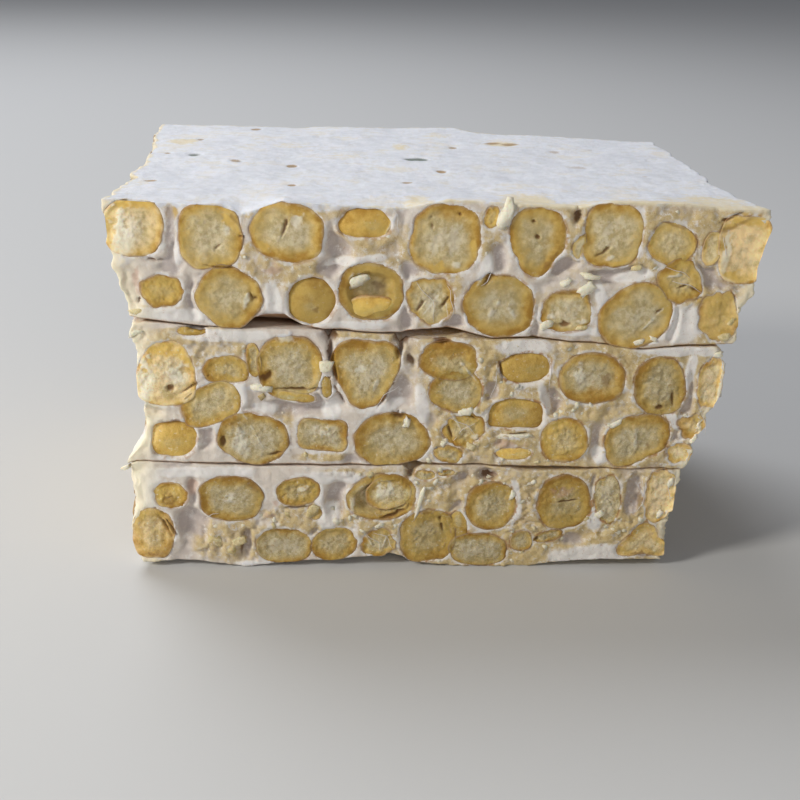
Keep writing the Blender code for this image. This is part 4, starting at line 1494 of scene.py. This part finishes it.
class BeanSet:
    """The soybeans of one wall or more, set into a slab's body."""

    SMALL = 5.6              # largest size of a bean that takes the coarser blank
    FACE = 0.64              # share of a blank, from its pole, that becomes the cut face
    ROUND = 0.74             # share at which its rounded rim ends
    RIM_ROUND = 0.05         # radius of that rim
    DEEPEST = 2.6            # how far a bean reaches into the wall at most
    PROUD = 0.24             # the most that its face stands out

    def __init__(self, form: Form) -> None:
        """Start an empty set in a slab of that form."""
        self.form = form
        self.made: list[Piece] = []

    def add(self, wall: Wall, layout: Layout, large: Piece, small: Piece) -> None:
        """Set one wall's beans in.

        Args:
            wall: which wall.
            layout: what lies in it.
            large: the round blank that each whole bean is shaped from.
            small: a coarser blank for fragments.
        """
        mirror = -1.0 if wall in (Wall.BACK, Wall.LEFT) else 1.0
        for number, bean in enumerate(layout.beans):
            piece = copy_of(large if bean.larger > self.SMALL else small, f"bean_{wall.value}_{number}")
            ball = read_points(piece)
            share = np.arccos(np.clip(ball[:, 2], -1.0, 1.0)) / math.pi
            self.shape(piece, bean, layout, wall, share, np.arctan2(ball[:, 1], mirror * ball[:, 0]))
            self.made.append(piece)

    def shape(self, piece: Piece, bean: Bean, layout: Layout, wall: Wall, share: Array, angle: Array) -> None:
        """Shape one bean.

        Args:
            piece: its copy of the blank.
            bean: its sizes.
            layout: the wall's contents, for marks that cross it.
            wall: the wall it lies in.
            share: how far from the front pole each vertex lies, from 0 to 1.
            angle: each vertex's angle round the pole.
        """
        form, on_face = self.form, share <= self.FACE
        rim = min(self.RIM_ROUND, 0.25 * bean.smaller)
        round_off = np.clip((share - self.FACE) / (self.ROUND - self.FACE), 0.0, 1.0) * 0.5 * math.pi
        side = np.clip((share - self.ROUND) / (1.0 - self.ROUND), 0.0, 1.0)
        reach = bean.outline(angle)
        p, q = 0.5 * bean.width * reach * np.cos(angle), 0.5 * bean.height * reach * np.sin(angle)
        length = np.maximum(np.hypot(p, q), 1e-6)
        face = np.clip(share / self.FACE, 0.0, 1.0)
        inset = rim * (1.0 - np.sin(round_off))
        narrowed = np.where(side > 0.0, np.sqrt(np.maximum(1.0 - side ** 2, 0.0)), 1.0)
        radius = np.where(on_face, face * (length - rim), (length - inset) * narrowed)
        edge = np.where(on_face, length - radius, 0.0)
        p, q = p / length * radius, q / length * radius
        c, s = math.cos(math.radians(bean.turn)), math.sin(math.radians(bean.turn))
        u, v = bean.u + c * p - s * q, bean.v + s * p + c * q
        x, y, z = form.wall(wall, u, v)
        local = np.column_stack((x, y, z))
        shoulder = self.shoulder(bean) + 0.11 * cloud(local, 2.2, bean.seed + 2)
        depth = min(self.DEEPEST, 1.1 * bean.smaller)
        out = -rim * (1.0 - np.cos(round_off)) - depth * np.sin(0.5 * math.pi * side) + shoulder
        out = np.where(on_face, shoulder + self.face_relief(bean, face, edge, local), out)
        found = layout.touched(u, v)
        sink = found.pop("sink") * smooth(0.0, 0.25, edge)
        out = np.minimum(out - sink * on_face, self.PROUD)
        ox, oy = OUTWARD[wall]
        write_points(piece, self.trimmed(wall, x + ox * out, y + oy * out, z))
        # painted glow and painted light: beans near the slab's ends get warmer and brighter, standing in for
        # light shining through
        ends = np.minimum(form.behind(Wall.LEFT, x, y, z), 1.5 * form.behind(Wall.RIGHT, x, y, z))
        thin = smooth(4.0, 0.0, ends) * (wall is Wall.FRONT)
        write_shares(piece, **found, band=edge / bean.rim_width(angle), edge=edge, tone=bean.tone,
                     whole=bean.cut is Cut.DOME, warm=np.maximum(bean.warm, 0.8 * thin),
                     light=bean.light * (1.0 + 0.22 * thin), grain=form.grain,
                     core=smooth(0.0, 0.92 * bean.smaller, edge))

    def trimmed(self, wall: Wall, x: Array, y: Array, z: Array) -> Array:
        """Cut a bean off where it would stand out of the slab's other sides.

        Args:
            wall: the wall it lies in.
            x: places across.
            y: places front to back.
            z: heights.

        Returns:
            The places, one row each.
        """
        form = self.form
        if wall in LONG_WALLS:
            x = np.clip(x, form.end_x(Wall.LEFT, y, z) - 0.10, form.end_x(Wall.RIGHT, y, z) + 0.10)
        else:
            y = np.clip(y, form.front - 0.05, form.back_y(x) + 0.10)
        under = 0.40 * smooth(0.05, 0.8, form.behind(wall, x, y, z))
        lowest = form.low(x, y) - 0.05 - 0.10 * (form.level > 0) + under
        return np.column_stack((x, y, np.clip(z, np.maximum(lowest, 0.03), form.high(x, y) - under)))

    def shoulder(self, bean: Bean) -> float:
        """Level of a bean's outline over the wall's plane, in millimetres."""
        return 0.06 - self.dome(bean) if bean.cut is Cut.DOME else -0.06 + 0.05 * math.sin(7.0 * bean.seed)

    @staticmethod
    def dome(bean: Bean) -> float:
        """How far a bean that the knife missed bulges over its own outline, in millimetres."""
        return min(0.8, 0.26 * bean.smaller)

    def face_relief(self, bean: Bean, face: Array, edge: Array, points: Array) -> Array:
        """Height of a bean's face over its outline.

        Args:
            bean: its sizes.
            face: distance from its middle, from 0 to 1.
            edge: distance in from its outline.
            points: places in space.

        Returns:
            The height outwards in millimetres.
        """
        meal = smooth(0.0, 1.2 * bean.rim, edge) * self.form.grain ** 0.5
        crumb, grain = clouds(points, 1.3, bean.seed, 3), clouds(points, 0.6, bean.seed + 5, 2)
        swell = cloud(points, 3.5, bean.seed + 9)
        if bean.cut is Cut.DOME:
            bulge = np.sqrt(np.maximum(1.0 - 0.96 * face ** 2, 0.0)) - 0.2
            return 1.25 * self.dome(bean) * bulge + 0.06 * swell * meal + 0.03 * crumb * meal
        if bean.cut is Cut.CRUMBLY:
            return meal * (0.36 * crumb + 0.15 * grain + 0.15 * swell - 0.08)
        if bean.cut is Cut.HOLLOW:
            inner = smooth(0.9 * bean.rim, 1.9 * bean.rim, edge)
            return 0.14 * crumb * meal - inner * (1.25 + 0.35 * swell)
        ridge = 0.07 * np.exp(-((edge - 0.55 * bean.rim) / 0.5) ** 2)
        return ridge + meal * (0.20 * crumb + 0.12 * grain + 0.18 * swell - 0.10)


# What the knife left loose

@dataclass(frozen=True)
class Chip:
    """One chip or flake on a front wall: its middle, size and turn, and how far it stands out."""

    u: float
    v: float
    long: float
    wide: float
    turn: float = 0.0
    thick: float = 0.4
    out: float = -0.1
    tone: float = 0.1
    light: float = 1.25


@dataclass(frozen=True)
class Thread:
    """One thin thread of mycelium: where it starts and ends on a front wall, and how far it arches."""

    u0: float
    v0: float
    u1: float
    v1: float
    sideways: float = 0.4
    arch: float = 0.15
    radius: float = 0.04


CHIPS = (
    ((-46.7, 17.1, 1.6, 0.7, 20, 0.4), (-1.7, 11.2, 5.6, 0.9, 80, 0.5, -0.05),
     (-18.2, 9.9, 2.4, 1.4, 60, 0.6, -0.1, 0.5, 1.1), (-29.8, 4.6, 2, 1.2, 20, 0.5, -0.1, 0.4),
     (-33.4, 4.4, 2.2, 1.6, -30, 0.6, -0.1, 0.4), (-31.2, 3, 1.8, 1.3, 10, 0.6, -0.1, 0.5),
     (12.8, 12.6, 1.6, 0.7, 75, 0.4, -0.1), (26.8, 9.4, 1.8, 1.2, 50, 0.5, -0.1, 0.3),
     (15, 15, 1.6, 1, 10, 0.5, -0.1), (29.8, 6.6, 1.8, 1, -40, 0.5, -0.1, 0.3),
     (36.6, 9.4, 1.4, 0.8, 60, 0.5, -0.1, 0.2), (37.6, 14.8, 1.6, 0.9, 80, 0.5, -0.1, 0.2)),
    ((-16.5, 33.8, 1.8, 1.5, 10, 0.8, 0), (-26.4, 30.2, 3.6, 1, -5, 0.5, -0.05),
     (-26, 28.8, 1.2, 0.8, 40, 0.5, -0.1, 0.6, 0.8), (-4.2, 24.8, 1.6, 1, 80, 0.5, 0),
     (12.4, 22.6, 4.2, 0.8, 2, 0.5, -0.1), (4.6, 26.6, 2, 1.3, 20, 0.6, -0.1),
     (5.8, 21, 1.8, 1.2, -30, 0.6, -0.1, 0.4), (1.6, 21.6, 1.5, 1, 60, 0.6, -0.1, 0.3),
     (27.8, 24.8, 2.4, 0.9, 30, 0.5, -0.1), (40.4, 22.4, 1.6, 0.8, 50, 0.4, -0.1, 0.2, 1.4),
     (42.4, 36.2, 1.6, 0.8, 10, 0.4, -0.1), (-44.4, 38.6, 1.8, 0.9, 20, 0.5, -0.3, 0.3)),
    ((8.8, 57, 4.4, 1.5, 78, 0.8, 0.05, 0.05, 1.35), (21.6, 46.2, 2.8, 1.6, 38, 0.9, 0, 0, 1.3),
     (18.4, 47.2, 1.8, 1, 30, 0.6, -0.1, 0.1, 1.25), (21.9, 48.1, 2.3, 0.9, -8, 0.6, 0, 0.3, 1.25),
     (28.8, 49.6, 1.6, 0.8, 10, 0.5, -0.1, 0.4), (16, 40.6, 1.8, 1.2, 25, 0.6, -0.05),
     (21.4, 40.2, 1.9, 0.7, 5, 0.5, -0.05, 0.4), (30.2, 38, 1.6, 0.9, 10, 0.5, -0.1, 0.3),
     (32.4, 38.6, 1.4, 0.8, -20, 0.5, -0.1, 0.3), (43.9, 41.6, 1.6, 1, 60, 0.6, -0.1, 0.6),
     (43.2, 39, 1.8, 1, 10, 0.6, -0.1, 0.4), (-43.4, 41.8, 2.6, 0.9, 8, 0.5, -0.2, 0.5),
     (-12, 46.8, 2.8, 1.8, 15, 0.7, -0.35, 0, 1.15)),
)

THREADS = (
    ((-10.4, 6, -7.6, 2.2, 0.8), (-8.8, 6.2, -5.6, 3, 0.7), (33, 15.4, 33.9, 11.2, 0.2),
     (33.8, 14.4, 32.8, 9.8, 0.3), (-34.8, 8.6, -32.8, 9.4, 0.2), (38.2, 11.6, 37.4, 14.6, 0.2)),
    ((-8.8, 27.6, -5.6, 30.6), (9, 34.4, 8.4, 29, 0.3), (2.2, 25.6, 6.4, 23), (3, 21.8, 6.2, 24.8),
     (16.4, 36.2, 17.2, 30.2, 0.4), (41.4, 26.4, 42.2, 23, 0.2)),
    ((-3.6, 46.8, -0.6, 41, 0.8), (0.8, 46.4, 1.6, 41.2, 0.7), (-7.4, 57.8, -6.6, 54, 0.5),
     (33, 49.6, 36.8, 48.2, 0.3), (34.2, 47.6, 38.8, 46, 0.3), (41, 54.4, 41.8, 49.4, 0.2),
     (7.6, 49.4, 6, 46.4, 0.3)),
)


class LooseSet:
    """Chips, crumbs and threads on the walls of the whole cake, each kind one piece."""

    def __init__(self) -> None:
        """Model the blanks: two faceted lumps and a thin rod."""
        self.chips: list[Piece] = []
        self.threads: list[Piece] = []
        self.chip = blank(bpy.ops.mesh.primitive_ico_sphere_add, subdivisions=2, radius=1.0)
        self.crumb = blank(bpy.ops.mesh.primitive_ico_sphere_add, subdivisions=1, radius=1.0)
        self.rod = blank(bpy.ops.mesh.primitive_cylinder_add, (2, 7), vertices=4, radius=1.0, depth=2.0)

    def lump(self, model: Piece, centre: Array, axes: Sequence[Array], sizes: Array, seed: int, tone: float,
             light: float) -> None:
        """Shape one chip or crumb.

        Args:
            model: the blank it is copied from.
            centre: its middle.
            axes: its long, wide and thick axes.
            sizes: its half sizes along them.
            seed: makes it unlike the others.
            tone: how golden it is.
            light: how bright it is.
        """
        piece = copy_of(model, f"chip_{len(self.chips)}")
        ball = read_points(piece)
        rough = 1.0 + 0.6 * cloud(ball * 2.0 + seed, 1.5, seed) + 0.4 * cloud(ball * 2.0, 0.8, seed + 3)
        ball = np.sign(ball) * np.abs(ball) ** 0.65 * rough[:, None] * sizes
        points = centre + sum(ball[:, i:i + 1] * axes[i] for i in range(3))
        points[:, 2] = np.maximum(points[:, 2], 0.02)
        write_points(piece, points)
        write_shares(piece, tone=tone, light=light, band=3.0, edge=3.0, grain=1.0, core=1.0,
                     pale=0.75 * (tone < 0.35))
        self.chips.append(piece)

    def add_chips(self, form: Form, chips: Sequence[Chip]) -> None:
        """Lay one slab's chips on its front.

        Args:
            form: the slab.
            chips: its chips.
        """
        for number, chip in enumerate(chips):
            c, s = math.cos(math.radians(chip.turn)), math.sin(math.radians(chip.turn))
            axes = (np.array([c, 0.0, s]), np.array([-s, 0.0, c]), np.array([0.0, -1.0, 0.0]))
            centre = np.array([chip.u, form.front - chip.out, chip.v])
            sizes = 0.5 * np.array([chip.long, chip.wide, chip.thick])
            self.lump(self.chip, centre, axes, sizes, 40 * form.level + number, chip.tone, chip.light)

    def scatter(self, body: SlabBody, wall: Wall, count: int) -> None:
        """Scatter crumbs between a wall's beans.

        Args:
            body: the slab's body, whose relief carries them.
            wall: which wall.
            count: how many.
        """
        form, long_wall = body.form, wall in LONG_WALLS
        draw = np.random.default_rng(700 + 10 * form.level + len(wall.value))
        start, end = form.left[1] + 1.0, form.right[1] - 0.5
        if not long_wall:
            start, end = form.front + 1.0, form.front + form.depth - form.step - 5.0
        u = draw.uniform(start, end, 14 * count)
        none = np.zeros_like(u)
        at = (u, np.full_like(u, form.front)) if wall is Wall.FRONT else (none, none)
        v = draw.uniform(form.low(*at) + 0.4, form.high(*at) - 0.6)
        x, y, z = form.wall(wall, u, v)
        points = np.column_stack((x, y, z))
        out, found = body.relief(body.walls[wall], points, u, v)
        wanted = (found["gap"] > 0.15) & (found["gap"] < 1.6) & (found["cream"] + form.ripeness(points) > 0.5)
        if long_wall:
            wanted &= (form.behind(Wall.LEFT, x, y, z) > 1.4) & (form.behind(Wall.RIGHT, x, y, z) > 1.4)
        ox, oy = OUTWARD[wall]
        along, upward, outward = np.array([-oy, ox, 0.0]), np.array([0.0, 0.0, 1.0]), np.array([ox, oy, 0.0])
        for index in np.flatnonzero(wanted)[:count]:
            half = 0.5 * draw.uniform(0.4, 1.3)
            half = half * np.array([1.0, draw.uniform(0.5, 0.9), draw.uniform(0.3, 0.5)])
            turn = draw.uniform(0.0, math.pi)
            axes = (math.cos(turn) * along + math.sin(turn) * upward,
                    math.cos(turn) * upward - math.sin(turn) * along, outward)
            centre = points[index] + outward * (out[index] - 0.5 * half[2])
            tone, light = draw.uniform(-0.3, 0.5), draw.uniform(0.95, 1.2)
            self.lump(self.crumb, centre, axes, half, int(index), tone, light)

    def add_threads(self, form: Form, threads: Sequence[Thread]) -> None:
        """Stretch one slab's threads over its front.

        Args:
            form: the slab.
            threads: its threads.
        """
        for thread in threads:
            piece = copy_of(self.rod, f"thread_{len(self.threads)}")
            rod = read_points(piece)
            t = 0.5 + 0.5 * rod[:, 2]
            bulge = 4.0 * t * (1.0 - t)
            run = np.array([thread.u1 - thread.u0, thread.v1 - thread.v0])
            normal = np.array([-run[1], run[0]]) / np.linalg.norm(run)
            radius = thread.radius * (0.6 + 0.6 * bulge)
            wave = thread.sideways * (bulge + 0.35 * np.sin(9.0 * t + thread.u0)) + rod[:, 0] * radius
            u = thread.u0 + run[0] * t + normal[0] * wave
            v = thread.v0 + run[1] * t + normal[1] * wave
            y = form.front - thread.arch * (bulge - 0.4) - rod[:, 1] * radius
            write_points(piece, np.column_stack((u, y, np.maximum(v, 0.05))))
            write_shares(piece, white=1.0, gap=3.0, ripe=0.0, under=3.0)
            self.threads.append(piece)

    def finish(self, soybean: Material, mycelium: Material) -> None:
        """Join each kind, dress it and hang it on the cake."""
        attach(join(self.chips, "crumbs", soybean), "soybean")
        attach(join(self.threads, "threads", mycelium), "mycelium")
        remove(self.chip, self.crumb, self.rod)


# Studio

@dataclass(frozen=True)
class Camera:
    """The camera, by its place in front of the cake and the way it looks."""

    aside: float = -17.8        # from the middle of the cake, in millimetres
    away: float = -174.5        # in front of its front wall
    above: float = 97.5         # over the table
    pitch: float = 21.5         # degrees down
    yaw: float = 4.1            # degrees to the right
    roll: float = 2.0
    lens: float = 56.25

    def add(self) -> None:
        """Create the camera and make it the scene's own."""
        low, high = cad_box
        data = bpy.data.cameras.new("camera")
        data.lens = self.lens
        data.sensor_width = 36.0
        data.clip_start, data.clip_end = 0.01, 20.0
        camera = bpy.data.objects.new("camera", data)
        bpy.context.scene.collection.objects.link(camera)
        pitch, yaw, roll = (math.radians(a) for a in (self.pitch, self.yaw, self.roll))
        ahead = Vector((math.sin(yaw) * math.cos(pitch), math.cos(yaw) * math.cos(pitch), -math.sin(pitch)))
        right = Vector((math.cos(yaw), -math.sin(yaw), 0.0))
        up = right.cross(ahead)
        across = math.cos(roll) * right + math.sin(roll) * up
        upward = -math.sin(roll) * right + math.cos(roll) * up
        place = Vector((0.5 * (low.x + high.x) + self.aside * MM, low.y + self.away * MM, self.above * MM))
        turn = Matrix((across, upward, -ahead)).transposed().to_4x4()
        camera.matrix_world = Matrix.Translation(place) @ turn
        bpy.context.scene.camera = camera


@dataclass(frozen=True)
class Lamp:
    """One soft light: where it stands, how large it is, its power and its colour."""

    name: str
    place: Triple
    size: float
    power: float
    colour: Rgb

    def add(self) -> None:
        """Create the light, aimed at the middle of the cake."""
        data = bpy.data.lights.new(self.name, "AREA")
        data.shape = "DISK"
        data.size = self.size
        data.energy = self.power
        data.color = self.colour
        lamp = bpy.data.objects.new(self.name, data)
        bpy.context.scene.collection.objects.link(lamp)
        lamp.location = self.place
        aim = Vector((0.0, 0.0, 0.03)) - lamp.location
        lamp.rotation_mode = "QUATERNION"
        lamp.rotation_quaternion = aim.to_track_quat("-Z", "Y")


class Studio:
    """The plain pale floor and the soft lights."""

    FLOOR = (0.60, 0.60, 0.60)
    GLOW = (0.90, 0.93, 1.0)
    LAMPS = (
        Lamp("window", (-0.35, 0.50, 0.75), 0.60, 5.3, (0.95, 0.97, 1.0)),
        Lamp("key", (-0.42, -0.24, 0.28), 0.12, 1.72, (1.0, 0.970, 0.90)),
        Lamp("fill", (0.10, -0.80, 0.35), 0.60, 0.9, (1.0, 0.960, 0.87)),
    )

    def add(self) -> None:
        """Lay the floor, hang the lights and set the world's glow."""
        deselect_all()
        bpy.ops.mesh.primitive_plane_add(size=8.0, location=(0.0, 2.0, 0.0))
        floor = bpy.context.object
        floor.name = "floor"
        t = Tree("floor_paper")
        t.feed(t.inputs["Base Color"], self.FLOOR)
        t.feed(t.inputs["Roughness"], 0.9)
        floor.data.materials.append(t.material)
        for lamp in self.LAMPS:
            lamp.add()
        world = bpy.data.worlds.new("studio")
        world.use_nodes = True
        world.node_tree.nodes["Background"].inputs["Color"].default_value = (*self.GLOW, 1.0)
        world.node_tree.nodes["Background"].inputs["Strength"].default_value = 0.20
        bpy.context.scene.world = world
        bpy.context.scene.view_settings.view_transform = "Standard"


# Assembly

def attach(piece: Piece, slot: str, *nodes: str) -> None:
    """Hang a piece on its body and hide the solids that it stands for.

    Args:
        piece: the finished piece.
        slot: not used.
        nodes: the CAD nodes that it replaces.
    """
    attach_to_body(piece, "root")
    if nodes:
        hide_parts(*nodes)
    faces = sum(len(face.vertices) - 2 for face in piece.data.polygons)
    log.info("%s: %d triangles", piece.name, faces)


def main() -> None:
    """Build the cake and its studio."""
    logging.basicConfig(level=logging.INFO, format="%(name)s: %(message)s")
    soybean = SoybeanFinish().material("soybean")
    mycelium = MyceliumFinish().material("mycelium")
    block = blank(bpy.ops.mesh.primitive_cube_add, *SlabBody.CUTS, size=2.0)
    balls = [blank(bpy.ops.mesh.primitive_uv_sphere_add, segments=around, ring_count=rings, radius=1.0)
             for around, rings in ((96, 46), (48, 24), (48, 24), (24, 12))]
    loose = LooseSet()
    for form, front, chips, threads in zip(FORMS, FRONTS, CHIPS, THREADS):
        walls = {Wall.FRONT: front}
        for number, wall in enumerate((Wall.BACK, Wall.LEFT, Wall.RIGHT)):
            walls[wall] = Packing(100 + 10 * form.level + number).fill(form, wall)
        body = SlabBody(form, walls, block, mycelium)
        attach(body.piece, "mycelium", form.node)
        front_set, side_set = BeanSet(form), BeanSet(form)
        for wall, layout in walls.items():
            if wall is Wall.FRONT:
                front_set.add(wall, layout, *balls[:2])
            else:
                side_set.add(wall, layout, *balls[2:])
        name = form.node.replace("slab", "beans")
        attach(join(front_set.made, name + "_front", soybean), "soybean")
        attach(join(side_set.made, name + "_sides", soybean), "soybean")
        loose.add_chips(form, [Chip(*row) for row in chips])
        loose.add_threads(form, [Thread(*row) for row in threads])
        for wall, count in zip(Wall, (form.crumbs, 50, 25, 25)):
            loose.scatter(body, wall, count)
    loose.finish(soybean, mycelium)
    remove(block, *balls)
    Studio().add()
    Camera().add()


if __name__ == "__main__":
    main()
